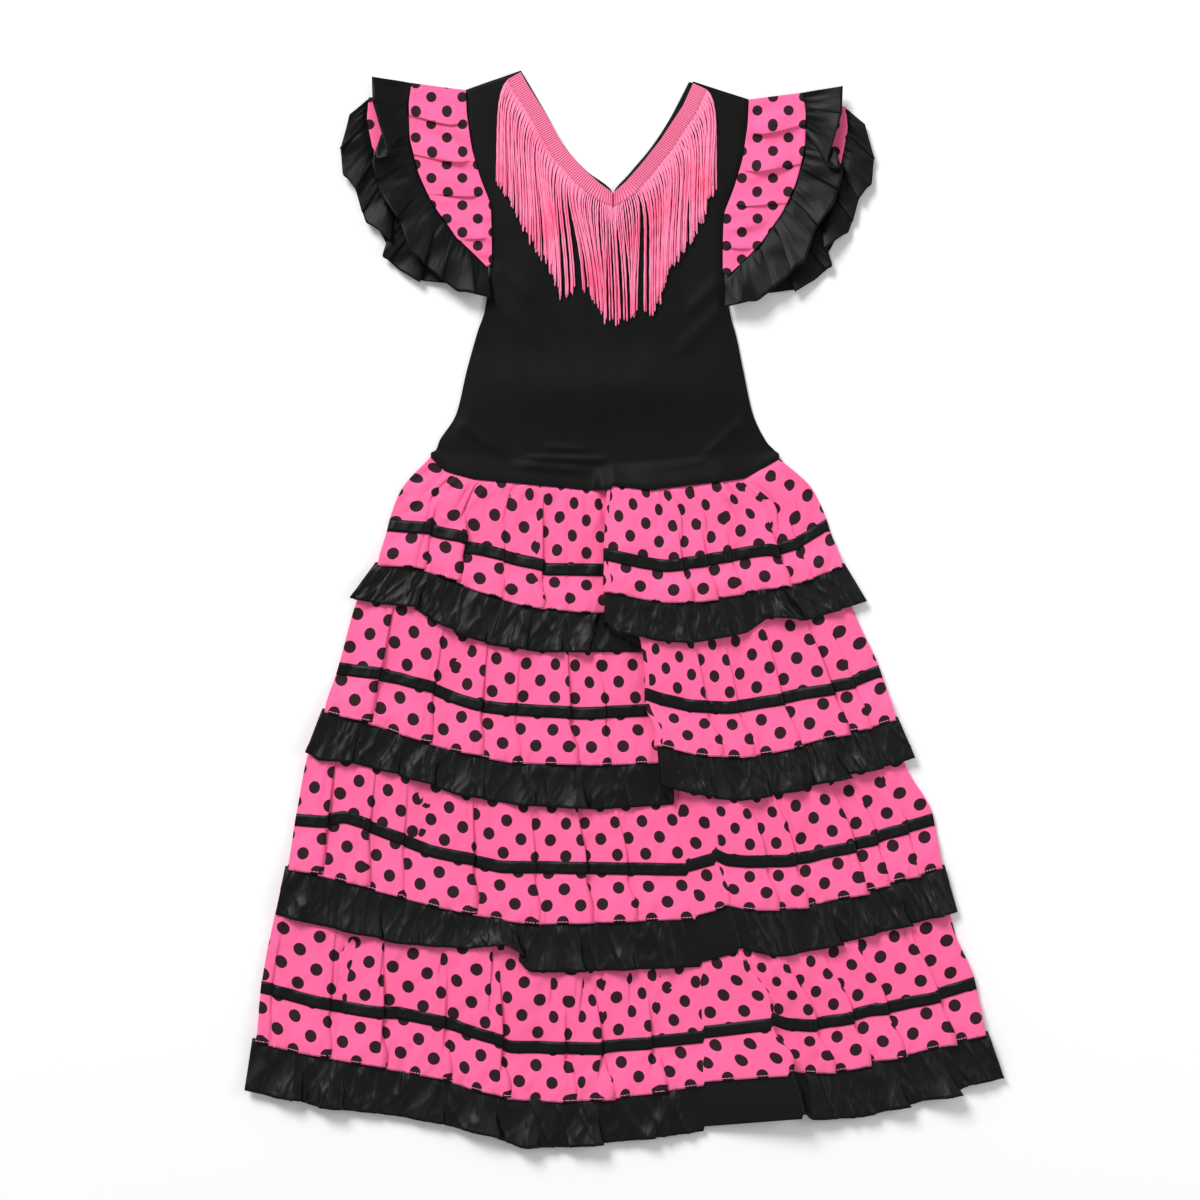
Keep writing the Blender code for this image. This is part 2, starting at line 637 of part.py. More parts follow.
def bodice_half(side, base, inset, is_front):
    """The points of half a bodice, from the waist up to the shoulder."""
    count = 6 if is_front else 3
    outer_end = BODICE_ENDS[side]
    rows = []
    for reach in (1.0, 0.0):
        row = []
        for i in range(count + 1):
            across = outer_end + (BODICE_CENTRE[0][0] - outer_end) * i / count
            line = LINES["waist"][1 if across > BODICE_MIDDLE else 0]
            x, y = place(across, depth_at(line, across))
            y += WAIST_LAP - HEM_OVERLAP * reach
            row.append((x, y, waist_height(x) if is_front else base))
        rows.append(row)
    sections = [(place(*a), place(*b)) for a, b in zip(BODICE_SIDE[side], BODICE_CENTRE)]
    for number, (spot, inner) in enumerate(zip(reversed(ARMHOLE), BODICE_NECK[side])):
        step = inset if number > 2 else 0.0
        sections.append((sleeve_place(spot, side), place(inner[0] - step, inner[1])))
    for outer, inner in sections:
        row = []
        for i in range(count + 1):
            x, y = (a + (b - a) * i / count for a, b in zip(outer, inner))
            row.append((x, y, base + (bodice_height(x, y) if is_front else 0.0)))
        rows.append(row)
    return rows


def build_bodice():
    """Front and back of the bodice, each one sheet with a V neck."""
    front = [bodice_half(side, LAYER, 0.0, True) for side in ("left", "right")]
    add_object("bodice_front", wall_shell(front, 0.0, WALL, True), "black_knit")
    back = [bodice_half(side, BACK_OUTER, BACK_NECK_INSET[side], False) for side in ("left", "right")]
    add_object("bodice_back", wall_shell(back, 0.0, WALL, True), "black_knit")


def sleeve_panel(root, seam, level, side):
    """A flat sleeve panel from the armhole to its ruffle's seam, between paired points."""
    rows = []
    for share in (0.0, 0.5, 1.0):
        row = []
        for a, b in zip(root, seam):
            spot = (a[0] + (b[0] - a[0]) * share, a[1] + (b[1] - a[1]) * share)
            row.append((*sleeve_place(spot, side), level))
        rows.append(row)
    return rows


def sleeve_ruffle(seam, free, level, waves, side):
    """A waving ruffle from just inside its seam to its free edge."""
    count = 4 * SLEEVE_WAVES
    low, high, phase = waves
    rows = []
    for reach in (0.0, 0.5, 1.0):
        row = []
        for i in range(count + 1):
            a = along(seam, i / count)
            b = along(free, i / count)
            spot = (a[0] + (b[0] - a[0]) * reach, a[1] + (b[1] - a[1]) * reach)
            wave = 0.5 - 0.5 * math.cos(2.0 * math.pi * SLEEVE_WAVES * i / count + phase)
            height = MM * (low + (high - low) * wave) * reach ** 1.3
            row.append((*sleeve_place(spot, side), level + height))
        rows.append(row)
    return rows


def beside(curve, step):
    """A sleeve curve moved across by a step."""
    return tuple((across + step, down) for across, down in curve)


def build_sleeve(side):
    """A double flutter sleeve: back, lower and upper panel, each with its ruffle."""
    root = beside(ARMHOLE, -SLEEVE_PART)
    back_seam = beside(LOWER_SEAM, BACK_STEP)
    panel = sleeve_panel(root, back_seam, BACK_OUTER, side)
    add_object(f"sleeve_{side}_back", wall_shell([panel], 0.0, WALL, True), "pink_cloth")
    free = [along(LOWER_FREE, i / (len(back_seam) - 1)) for i in range(len(back_seam))]
    edge = sleeve_panel(beside(back_seam, -SLEEVE_PART), beside(free, 2.0 * BACK_STEP), BACK_OUTER, side)
    add_object(f"sleeve_{side}_back_ruffle", wall_shell([edge], 0.0, WALL, True), "black_satin")

    lower = sleeve_panel(root, LOWER_SEAM, BACK_INNER, side)
    add_object(f"sleeve_{side}_lower", wall_shell([lower], 0.0, WALL, True), "pink_cloth")
    edge = sleeve_ruffle(beside(LOWER_SEAM, -SLEEVE_PART), LOWER_FREE, BACK_INNER, LOWER_WAVES, side)
    add_object(f"sleeve_{side}_lower_ruffle", wall_shell([edge], 0.0, WAVED_WALL, True), "black_satin")

    upper = sleeve_panel(beside(ARMHOLE, SLEEVE_LAP), UPPER_SEAM, UPPER_LEVEL, side)
    add_object(f"sleeve_{side}_upper", wall_shell([upper], 0.0, WALL, True), "pink_cloth")
    edge = sleeve_ruffle(beside(UPPER_SEAM, -SLEEVE_PART), UPPER_FREE, UPPER_LEVEL, UPPER_WAVES, side)
    add_object(f"sleeve_{side}_upper_ruffle", wall_shell([edge], 0.0, WAVED_WALL, True), "black_satin")


def fringe_level(x, y):
    """The height just above the bodice front, where the fringe lies."""
    return LAYER + bodice_height(x, y) + WALL + GAP


def build_fringe(side, neck, tips):
    """A narrow strip along the neck edge with strands drawn out of its outer rim.

    Near the point of the V the strip and its strands turn to hang straight down.
    """
    turn = -1.0 if side == "left" else 1.0
    neck_m = [place(*spot) for spot in neck]
    tips_m = [place(*spot) for spot in tips]
    inner, outer, ways = [], [], []
    shares = []
    for i in range(STRANDS):
        middle = (i + 0.5) / STRANDS
        half = STRAND_SHARE / STRANDS
        shares += [middle - half, middle + half]
    shares = [0.0] + shares + [1.0]
    for share in shares:
        x, y = along(neck_m, share)
        ahead = along(neck_m, min(share + EDGE_REACH, 1.0))
        behind = along(neck_m, max(share - EDGE_REACH, 0.0))
        run, drop = ahead[0] - behind[0], ahead[1] - behind[1]
        size = math.hypot(run, drop)
        fan = smooth((share - FAN_START) / (1.0 - FAN_START))
        way = (-turn * drop / size * (1.0 - fan), turn * run / size * (1.0 - fan) - fan)
        size = math.hypot(*way)
        way = (way[0] / size, way[1] / size)
        inner.append((x, y, fringe_level(x, y)))
        out_x, out_y = x + way[0] * STRIP_WIDTH, y + way[1] * STRIP_WIDTH
        outer.append((out_x, out_y, fringe_level(out_x, out_y)))
        ways.append(way)
    shell = wall_shell([[inner, outer]], 0.0, WALL, True)
    shell.faces.ensure_lookup_table()
    bmesh.ops.recalc_face_normals(shell, faces=shell.faces)
    roots = []
    for i in range(STRANDS):
        a, b = outer[2 * i + 1], outer[2 * i + 2]
        middle = ((a[0] + b[0]) / 2, (a[1] + b[1]) / 2)
        rim = [face for face in shell.faces if len(face.verts) == 4]
        best = min(rim, key=lambda face: math.dist(face.calc_center_median()[:2], middle))
        roots.append((best, a, b, ways[2 * i + 1], (i + 0.5) / STRANDS))
    for face, a, b, way, share in roots:
        grow_strand(shell, face, a, b, way, along(tips_m, share))
    add_object(f"fringe_{side}", shell, "pink_fringe")


def grow_strand(shell, face, a, b, way, tip):
    """Draw one strand out of its root face, first square to the strip and then down to its tip."""
    root = ((a[0] + b[0]) / 2, (a[1] + b[1]) / 2)
    bend = (root[0] + way[0] * STRAND_BEND, root[1] + way[1] * STRAND_BEND - STRAND_BEND)
    middle = (0.35 * root[0] + 0.65 * tip[0], 0.5 * (root[1] + tip[1]))
    before = root
    for spot in (bend, middle, tip):
        run, drop = spot[0] - before[0], spot[1] - before[1]
        size = math.hypot(run, drop)
        across = (drop / size, -run / size)
        if (b[0] - a[0]) * across[0] + (b[1] - a[1]) * across[1] < 0.0:
            across = (-across[0], -across[1])
        grown = bmesh.ops.extrude_discrete_faces(shell, faces=[face])
        face = grown["faces"][0]
        centre = (a[0] + b[0]) / 2, (a[1] + b[1]) / 2
        for vert in face.verts:
            sign = 1.0 if math.dist(vert.co[:2], b[:2]) < math.dist(vert.co[:2], a[:2]) else -1.0
            top = vert.co.z > min(v.co.z for v in face.verts) + 0.5 * WALL
            x = spot[0] + sign * across[0] * STRAND_HALF
            y = spot[1] + sign * across[1] * STRAND_HALF
            vert.tag = top
            vert.co.x = x
            vert.co.y = y
        low = fringe_level(*spot)
        for vert in face.verts:
            vert.co.z = low + (WALL if vert.tag else 0.0)
        a = (spot[0] - across[0] * STRAND_HALF, spot[1] - across[1] * STRAND_HALF)
        b = (spot[0] + across[0] * STRAND_HALF, spot[1] + across[1] * STRAND_HALF)
        before = spot


def build_dress():
    """Every piece of the dress."""
    clear_scene()
    build_skirt()
    build_bodice()
    for side in ("left", "right"):
        build_sleeve(side)
    build_fringe("left", NECK_LEFT, TIPS_LEFT)
    build_fringe("right", NECK_RIGHT, TIPS_RIGHT)


build_dress()
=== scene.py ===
# %% [markdown]
# A child's flamenco dress, laid flat on its back. The real dress is a black stretch-knit bodice with
# a fringed V neck, double flutter sleeves and a skirt of four gathered tiers, each with a satin
# ribbon and a satin ruffle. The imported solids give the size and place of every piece; this lesson
# replaces each with finer cloth of the same form. Everything is in metres, X to the right, Y up the
# dress, Z up from the floor.

# %% Load the frame
import math

import bmesh
import bpy
import numpy as np
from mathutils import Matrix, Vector, noise


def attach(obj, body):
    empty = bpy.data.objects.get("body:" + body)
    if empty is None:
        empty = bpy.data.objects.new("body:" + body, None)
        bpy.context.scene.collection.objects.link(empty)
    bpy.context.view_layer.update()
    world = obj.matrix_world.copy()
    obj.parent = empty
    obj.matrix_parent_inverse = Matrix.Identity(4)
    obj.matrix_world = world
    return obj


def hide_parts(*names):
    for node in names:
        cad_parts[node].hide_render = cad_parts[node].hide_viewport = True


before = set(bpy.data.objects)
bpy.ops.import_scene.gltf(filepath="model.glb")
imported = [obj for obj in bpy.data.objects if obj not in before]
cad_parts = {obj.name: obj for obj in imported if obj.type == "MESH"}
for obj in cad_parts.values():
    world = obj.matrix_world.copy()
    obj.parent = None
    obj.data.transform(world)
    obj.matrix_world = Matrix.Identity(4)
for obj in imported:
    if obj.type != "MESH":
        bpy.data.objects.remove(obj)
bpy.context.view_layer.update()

# %% [markdown]
# Sizes come first. The dress is drawn on a plan grid of 0.8 mm squares, counted right and down from
# the plan's top left corner, so that a line across the skirt is a short list of grid points. The
# heights are stacks of cloth walls and the small gaps between them, the same as in the solids.

# %% Driving sizes
GRID = 0.0008
PLAN_CENTRE = (624.5, 608.5)
CLOTH = 0.0007
SATIN = 0.0006
RIBBON = 0.0005
KNIT = 0.0009
WALL = 0.0010
GAP = 0.0003
LAYER = WALL + GAP
SKIRT_LAYER = WALL + 0.0005
FRONT = 2.0 * LAYER
RIBBON_WIDTH = 0.0100
HEM_OVERLAP = 0.0030
STRIP_WIDTH = 0.0120
COLUMN = 1.15

# %% [markdown]
# The big fold down the middle of the skirt is the dress's main shape: the right part lies over the
# left one near the waist and opens into a ridge lower down. Each row says where the left part turns
# up, where the right part turns over, the two bend radii and the height of the right part in mm.

# %% The fold and the lines across the skirt
FOLD = {
    "waist": (618, 608, 1.8, 0.6, 4.8),
    "hip": (627, 606, 3.0, 0.6, 7.2),
    "ribbon_1": (635, 605, 4.6, 0.6, 10.4),
    "seam_1": (648, 608, 4.6, 0.6, 10.4),
    "free_1": (645, 606, 4.6, 0.6, 10.4),
    "top_2": (651, 614, 4.6, 0.6, 10.4),
    "shown_2": (655, 641, 4.6, 0.6, 10.4),
    "ribbon_2": (662, 646, 4.6, 0.6, 10.4),
    "seam_2": (674, 659, 4.6, 0.6, 10.4),
    "free_2": (676, 663, 4.4, 0.8, 10.4),
    "top_3": (678, 664, 4.6, 0.6, 10.4),
    "shown_3": (684, 699, 6.0, 2.0, 10.4),
    "ribbon_3": (693, 712, 6.0, 3.0, 11.0),
    "seam_3": (703, 722, 6.0, 3.0, 11.0),
    "free_3": (708, 735, 7.0, 3.0, 12.0),
    "top_4": (702.7, 721.2, 5.9, 3.0, 10.9),
    "shown_4": (708, 735, 7.0, 3.0, 12.0),
    "ribbon_4": (712, 766, 8.0, 4.0, 14.0),
    "seam_4": (713, 783, 8.0, 4.0, 14.0),
    "free_4": (713, 797, 8.0, 4.0, 14.0),
}
LINES = {
    "waist": (
        ((430, 456), (445, 471), (475, 479), (530, 484), (590, 490), (618, 489)),
        ((608, 485), (650, 490), (690, 485), (745, 478), (764, 467), (780, 458)),
    ),
    "hip": (
        ((402, 489), (430, 497), (457, 503), (530, 519), (590, 524), (627, 524)),
        ((606, 517), (650, 523), (700, 520), (765, 511), (795, 500), (812, 489)),
    ),
    "ribbon_1": (
        ((390, 519), (425, 522), (456, 531), (459, 540), (480, 543), (530, 557), (545, 563), (635, 564)),
        ((605, 548), (640, 556), (665, 560), (700, 555), (765, 543), (768, 547), (800, 535), (826, 519)),
    ),
    "seam_1": (
        ((378, 566), (412, 567), (430, 573), (460, 585), (500, 599), (530, 608), (590, 613), (648, 612)),
        ((608, 592), (640, 599), (665, 603), (700, 602), (760, 590), (800, 583), (820, 575), (842, 567)),
    ),
    "free_1": (
        ((350, 598), (380, 604), (412, 607), (430, 618), (460, 635), (490, 645), (540, 652), (645, 652)),
        ((604, 618), (612, 631), (660, 641), (690, 643), (745, 633), (770, 617), (805, 621), (866, 601)),
    ),
    "ribbon_2": (
        ((340, 662), (372, 667), (400, 672), (430, 681), (470, 698), (500, 702), (580, 707), (662, 703)),
        ((646, 687), (660, 692), (690, 699), (725, 701), (750, 698), (790, 690), (850, 676), (878, 665)),
    ),
    "seam_2": (
        ((325, 712), (345, 717), (380, 727), (420, 741), (450, 750), (510, 763), (600, 765), (674, 762)),
        ((659, 745), (680, 750), (700, 755), (740, 757), (775, 752), (835, 735), (870, 727), (895, 720)),
    ),
    "free_2": (
        ((306, 752), (320, 760), (350, 762), (400, 775), (460, 795), (520, 805), (600, 809), (676, 804)),
        ((663, 785), (690, 792), (720, 798), (740, 800), (800, 790), (845, 775), (880, 768), (914, 757)),
    ),
    "ribbon_3": (
        ((297, 813), (318, 815), (345, 810), (370, 820), (430, 844), (500, 860), (575, 861), (693, 863)),
        ((712, 845), (725, 852), (745, 854), (780, 854), (810, 850), (870, 833), (900, 822), (932, 813)),
    ),
    "seam_3": (
        ((288, 869), (310, 873), (340, 880), (400, 897), (465, 913), (530, 924), (620, 921), (703, 918)),
        ((722, 902), (745, 908), (770, 909), (800, 907), (830, 900), (860, 893), (890, 882), (942, 868)),
    ),
    "free_3": (
        ((276, 914), (330, 927), (400, 943), (470, 948), (500, 943), (530, 971), (560, 971), (708, 966)),
        ((735, 945), (745, 947), (765, 953), (780, 955), (810, 950), (850, 940), (900, 926), (956, 911)),
    ),
    "ribbon_4": (
        ((261, 980), (320, 996), (370, 1005), (400, 1006),
         (455, 1018), (510, 1040), (592, 1041), (712, 1029)),
        ((766, 1008), (785, 1016), (810, 1018), (840, 1012),
         (870, 1003), (890, 1000), (920, 993), (973, 976)),
    ),
    "seam_4": (
        ((255, 1041), (300, 1052), (370, 1065), (440, 1078),
         (505, 1098), (560, 1101), (610, 1098), (713, 1083)),
        ((783, 1067), (800, 1071), (830, 1072), (850, 1068),
         (875, 1060), (895, 1057), (950, 1042), (985, 1034)),
    ),
    "free_4": (
        ((245, 1089), (330, 1107), (400, 1115), (460, 1127),
         (525, 1146), (560, 1146), (640, 1138), (713, 1129)),
        ((797, 1106), (804, 1112), (812, 1118), (860, 1116),
         (890, 1108), (943, 1095), (970, 1084), (1003, 1077)),
    ),
}
TIERS = (
    ("waist", "hip", "ribbon_1", "seam_1", None),
    ("seam_1", "shown_2", "ribbon_2", "seam_2", (357, 852)),
    ("seam_2", "shown_3", "ribbon_3", "seam_3", (308, 904)),
    ("seam_3", "shown_4", "ribbon_4", "seam_4", (274, 948)),
)
print("lines", len(LINES))

# %% [markdown]
# Pleats and waves are tables too. A pleat is a place on its tier's ribbon, a height, the run of its
# long slope and how far its crest leans over its steep side, so a sharp pleat hides a little cloth.

# %% Pleats and waves
PLEATS = (
    ((427, 2.5, 24, 3.5), (457, 3.5, 20, 9.5), (500, 2.0, 26, 3.0), (535, 2.8, 22, 7.0), (563, 2.0, 18, 3.0),
     (640, 2.0, 12, 2.0), (675, 2.2, 20, 5.0), (700, 2.5, 18, 4.0), (725, 2.0, 18, 3.0), (767, 3.5, 24, 9.0),
     (790, 2.5, 14, 3.0)),
    ((373, 3.5, 24, 8.0), (430, 2.5, 30, 4.0), (475, 3.0, 26, 6.5), (512, 2.0, 24, 3.0), (560, 4.0, 26, 9.5),
     (600, 2.5, 26, 5.5), (700, 2.5, 22, 4.0), (732, 2.0, 20, 3.5), (775, 2.5, 24, 5.0), (820, 4.0, 26, 9.5),
     (846, 2.0, 16, 3.5)),
    ((319, 4.0, 20, 9.0), (365, 2.5, 28, 4.5), (400, 2.5, 24, 3.0), (467, 3.0, 32, 6.0), (530, 2.5, 30, 4.0),
     (576, 4.5, 28, 9.5), (622, 3.0, 28, 4.0), (760, 2.5, 18, 3.5), (788, 2.5, 20, 5.5), (845, 3.5, 28, 7.5),
     (870, 2.5, 18, 4.0), (900, 2.5, 20, 4.5)),
    ((268, 2.0, 18, 3.0), (325, 3.0, 28, 4.5), (374, 4.5, 30, 9.5), (440, 3.0, 32, 4.0), (493, 4.5, 32, 9.0),
     (560, 3.0, 30, 4.0), (592, 4.0, 22, 8.5), (645, 3.5, 30, 5.0), (810, 3.0, 20, 4.5), (845, 3.5, 24, 6.0),
     (880, 3.0, 22, 5.0), (930, 3.5, 26, 6.0)),
)
PLEAT_DROP = 6.0

# Ruffle waves, a row for each ruffle: waves left and right of the fold, lowest and highest rise in mm
WAVES = (
    (8, 7, 1.2, 4.5),
    (9, 7, 1.2, 5.0),
    (10, 7, 1.2, 5.5),
    (9, 5, 0.8, 6.0),
)

# Creases of the ruffles, a row for each ruffle, with the same columns as PLEATS
CREASES = (
    ((408, 4.5, 24, 7.0), (447, 2.0, 16, 1.0), (479, 3.0, 20, 3.0), (519, 4.0, 20, 5.0), (557, 3.0, 16, 3.0),
     (585, 2.5, 14, 2.0), (640, 2.5, 16, 2.0), (687, 3.5, 20, 4.0), (727, 3.5, 22, 4.0), (792, 6.0, 30, 10.0),
     (835, 2.5, 20, 2.0)),
    ((345, 3.5, 20, 4.0), (392, 3.0, 20, 3.0), (427, 4.0, 20, 6.0), (477, 3.5, 22, 4.0), (530, 2.5, 24, 2.0),
     (578, 5.0, 26, 8.0), (708, 4.0, 24, 6.0), (765, 2.5, 24, 2.0), (800, 2.0, 22, 1.0), (838, 6.0, 30, 9.0),
     (877, 2.5, 20, 2.0)),
    ((330, 2.5, 22, 2.0), (373, 4.0, 26, 6.0), (412, 3.0, 22, 3.0), (455, 2.5, 22, 2.0), (512, 6.5, 40, 11.0),
     (576, 5.0, 28, 8.0), (630, 2.5, 28, 2.0), (790, 2.5, 24, 2.0), (834, 4.5, 26, 6.0), (870, 2.0, 20, 1.0),
     (903, 4.0, 24, 6.0), (938, 2.5, 18, 2.0)),
    ((295, 3.5, 26, 5.0), (338, 3.0, 24, 3.0), (373, 2.5, 20, 2.0), (438, 3.0, 30, 3.0), (490, 6.0, 38, 9.0),
     (533, 2.5, 24, 2.0), (594, 5.5, 36, 8.0), (650, 2.5, 30, 2.0), (850, 2.5, 24, 2.0), (901, 4.5, 30, 6.0),
     (949, 6.0, 28, 9.0)),
)
FOLD_CLEAR = 9.0


def place(across, down):
    """A plan grid point in metres."""
    return (across - PLAN_CENTRE[0]) * GRID, (PLAN_CENTRE[1] - down) * GRID


def smooth(value):
    """A soft step from 0 to 1."""
    value = min(max(value, 0.0), 1.0)
    return value * value * (3.0 - 2.0 * value)


def soft_table(points, spread=2.6, step=1.0):
    """A line's depths every grid square, with its corners softened a little."""
    first, last = points[0][0], points[-1][0]
    spots = np.arange(first, last + step, step)
    depths = np.interp(spots, [p[0] for p in points], [p[1] for p in points])
    reach = np.arange(-8, 9)
    weights = np.exp(-0.5 * (reach / spread) ** 2)
    weights /= weights.sum()
    padded = np.concatenate((2 * depths[0] - depths[8:0:-1], depths, 2 * depths[-1] - depths[-2:-10:-1]))
    return spots, np.convolve(padded, weights, mode="valid")


SOFT_LINES = {name: tuple(soft_table(part) for part in parts) for name, parts in LINES.items()}


def depth_at(line, side, across):
    """The depth of a line at a place across it."""
    spots, depths = SOFT_LINES[line][side]
    return float(np.interp(across, spots, depths))


print("pleats", sum(len(row) for row in PLEATS), "waves", sum(row[0] + row[1] for row in WAVES))

# %% [markdown]
# A sheet of cloth starts as a flat grid from create_grid, and every point of it is then moved to its
# place. The cloth's own flat coordinates go into its UV map in metres, so that dots and weave follow
# the threads round a fold. Solidify gives it a thickness. Modelling it by a cloth simulation would
# also work, but the folds of this dress are known, so it is quicker and truer to place them.


# %% From rows of points to cloth
def cloth(name, patches, material, thickness, body="root"):
    """A cloth piece from patches, each rows of points and rows of flat coordinates."""
    shell = bmesh.new()
    flat = shell.loops.layers.uv.new("UVMap")
    where = {}
    for rows, flats in patches:
        high, wide = len(rows), len(rows[0])
        made = bmesh.ops.create_grid(shell, x_segments=wide - 1, y_segments=high - 1, size=1.0)
        for vert in made["verts"]:
            i = round((vert.co.x + 1.0) * 0.5 * (wide - 1))
            j = high - 1 - round((vert.co.y + 1.0) * 0.5 * (high - 1))
            vert.co = rows[j][i]
            where[vert] = flats[j][i]
    for face in shell.faces:
        face.smooth = True
        for loop in face.loops:
            loop[flat].uv = where[loop.vert]
    if len(patches) > 1:
        bmesh.ops.remove_doubles(shell, verts=shell.verts, dist=1e-6)
    mesh = bpy.data.meshes.new(name)
    shell.to_mesh(mesh)
    shell.free()
    mesh.materials.append(material)
    piece = bpy.data.objects.new(name, mesh)
    bpy.context.scene.collection.objects.link(piece)
    wall = piece.modifiers.new("thickness", "SOLIDIFY")
    wall.thickness = thickness
    wall.offset = -1.0
    wall.use_even_offset = False
    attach(piece, body)
    return piece


def fitted(name, patches, material, thickness, node):
    """A cloth piece that takes the place of a node and has one of the dress's finishes."""
    piece = cloth(name, patches, material, thickness)
    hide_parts(node)
    return piece


def lean(row):
    """For each point of a row, the way out of the cloth in the X-Z section, with its mitre length."""
    xs = np.array([p[0] for p in row])
    zs = np.array([p[2] for p in row])
    run, rise = np.diff(xs), np.diff(zs)
    size = np.maximum(np.hypot(run, rise), 1e-9)
    nx, nz = -rise / size, run / size
    ax = np.concatenate(([nx[0]], 0.5 * (nx[1:] + nx[:-1]), [nx[-1]]))
    az = np.concatenate(([nz[0]], 0.5 * (nz[1:] + nz[:-1]), [nz[-1]]))
    scale = np.maximum(ax * ax + az * az, 0.35)
    return ax / scale, az / scale


def lift_row(row, amount):
    """A row moved out of the cloth by one amount, or by one for each point."""
    ax, az = lean(row)
    amounts = np.broadcast_to(amount, len(row))
    return [(x + a * m, y, z + c * m) for (x, y, z), a, c, m in zip(row, ax, az, amounts)]


# %% [markdown]
# The fold is bent round two centres with a straight run between them. One function gives a row of
# points across the whole skirt: left part, fold, right part. The tiers, ribbons and ruffles all use
# it, so they nest in each other through the fold as real layers do.


# %% A row across the skirt
FOLD_STEPS = 9


def fold_path(valley, ridge, turn_up, turn_over, lift):
    """The section of the fold from the left part's level to the right part's, in metres."""
    reach = turn_up + turn_over
    start = valley - turn_up
    end = ridge + turn_over
    run = end - start
    rise = lift - reach
    straight = math.sqrt(max(run * run + rise * rise - reach * reach, 1e-12))
    swing = math.atan2(rise, run) + math.atan2(reach, straight)
    path = []
    for step in range(FOLD_STEPS):
        angle = swing * step / (FOLD_STEPS - 1)
        path.append((start + turn_up * math.sin(angle), turn_up * (1.0 - math.cos(angle))))
    first, last = path[-1], (end - turn_over * math.sin(swing), lift - turn_over * (1.0 - math.cos(swing)))
    for step in range(1, FOLD_STEPS):
        share = step / FOLD_STEPS
        path.append(tuple(a + (b - a) * share for a, b in zip(first, last)))
    for step in range(FOLD_STEPS - 1, -1, -1):
        angle = swing * step / (FOLD_STEPS - 1)
        path.append((end - turn_over * math.sin(angle), lift - turn_over * (1.0 - math.cos(angle))))
    return path


def skirt_row(line, fold, columns, off, ends=None, shift=0.0, rise=None, drop_from=None):
    """One row of points across the skirt front, and which columns are left, fold and right."""
    valley, ridge, turn_up, turn_over, lift = FOLD[fold]
    turn_up, turn_over, lift = turn_up * 0.001, turn_over * 0.001, lift * 0.001
    low_end = ends[0] if ends else LINES[line][0][0][0]
    high_end = ends[1] if ends else LINES[line][1][-1][0]
    up_at = valley - turn_up / GRID
    over_at = ridge + turn_over / GRID
    fall_at = (drop_from or valley) + 10.0
    row = []
    for i in range(columns[0] + 1):
        across = low_end + (up_at - low_end) * i / columns[0]
        up, aside = rise(across, 0, ridge) if rise else (0.0, 0.0)
        x, y = place(across + aside, depth_at(line, 0, across) + shift)
        row.append((x, y, FRONT + up))
    path = fold_path(place(valley, 0)[0], place(ridge, 0)[0], turn_up, turn_over, lift)
    start_down = depth_at(line, 0, up_at) + shift
    end_down = depth_at(line, 1, over_at) + shift
    for i, (x, z) in enumerate(path[1:-1], 1):
        y = place(0, start_down + (end_down - start_down) * smooth(i / (len(path) - 1)))[1]
        row.append((x, y, FRONT + z))
    for i in range(columns[1] + 1):
        across = over_at + (high_end - over_at) * i / columns[1]
        up, aside = rise(across, 1, ridge) if rise else (0.0, 0.0)
        x, y = place(across + aside, depth_at(line, 1, across) + shift)
        height = lift * (1.0 - smooth((across - fall_at) / 115.0))
        row.append((x, y, FRONT + height + up))
    return lift_row(row, off)


def highest_pleat(pleats, spot):
    """The height in mm of the pleat at a place, and how far it leans over its steep side."""
    best, aside = 0.0, 0.0
    for at, height, run, over in pleats:
        reach = run if spot < at else PLEAT_DROP
        share = smooth(1.0 - abs(spot - at) / reach)
        if height * share > best:
            best = height * share
            aside = over * share ** 1.5
    return best, aside


def pleat_rise(tier, weight, ends, cover=None):
    """How much a tier's pleats lift and shift a point of a row, by its place across."""
    left, right = LINES[TIERS[tier][2]]
    here = ends or (left[0][0], right[-1][0])
    valley, turned = FOLD[TIERS[tier][2]][:2]

    def rise(across, side, ridge):
        if side == 0:
            share = (across - here[0]) / (ridge - here[0])
            spot = left[0][0] + share * (turned - left[0][0])
            clear = smooth((min(ridge, cover or ridge, turned - FOLD_CLEAR) - 22.0 - across) / 20.0)
        else:
            share = (here[1] - across) / (here[1] - ridge)
            spot = right[-1][0] - share * (right[-1][0] - turned)
            clear = smooth((across - max(ridge, valley) - 6.0) / 20.0)
        best, aside = highest_pleat(PLEATS[tier], spot)
        return 0.001 * best * weight * clear, aside * min(1.0, 1.5 * weight) * clear

    return rise


def wave_rise(ruffle):
    """How much a ruffle's waves lift and sway a point of its free edge, by its place across."""
    left_count, right_count, lowest, highest = WAVES[ruffle]
    left, right = LINES[f"free_{ruffle + 1}"]
    valley = FOLD[f"free_{ruffle + 1}"][0]

    def rise(across, side, ridge):
        if side == 0:
            share = (across - left[0][0]) / (ridge - left[0][0])
            count = left_count
            clear = smooth((min(ridge, valley - FOLD_CLEAR) - 6.0 - across) / 16.0)
        else:
            share = (right[-1][0] - across) / (right[-1][0] - ridge)
            count = right_count
            clear = smooth((across - ridge - 6.0) / 16.0)
        drift = noise.noise((4.0 * share, ruffle, side))
        phase = 2.0 * math.pi * count * (share + 0.05 * drift)
        swell = min(max(0.5 + 0.9 * noise.noise((6.0 * share, ruffle + 0.5, side)), 0.08), 1.0)
        height = lowest + (highest - lowest) * swell * (0.5 - 0.5 * math.cos(phase))
        best, aside = highest_pleat(CREASES[ruffle], across)
        return 0.001 * (height + best) * clear, (1.5 * swell * math.sin(phase + 0.6) + aside) * clear

    return rise


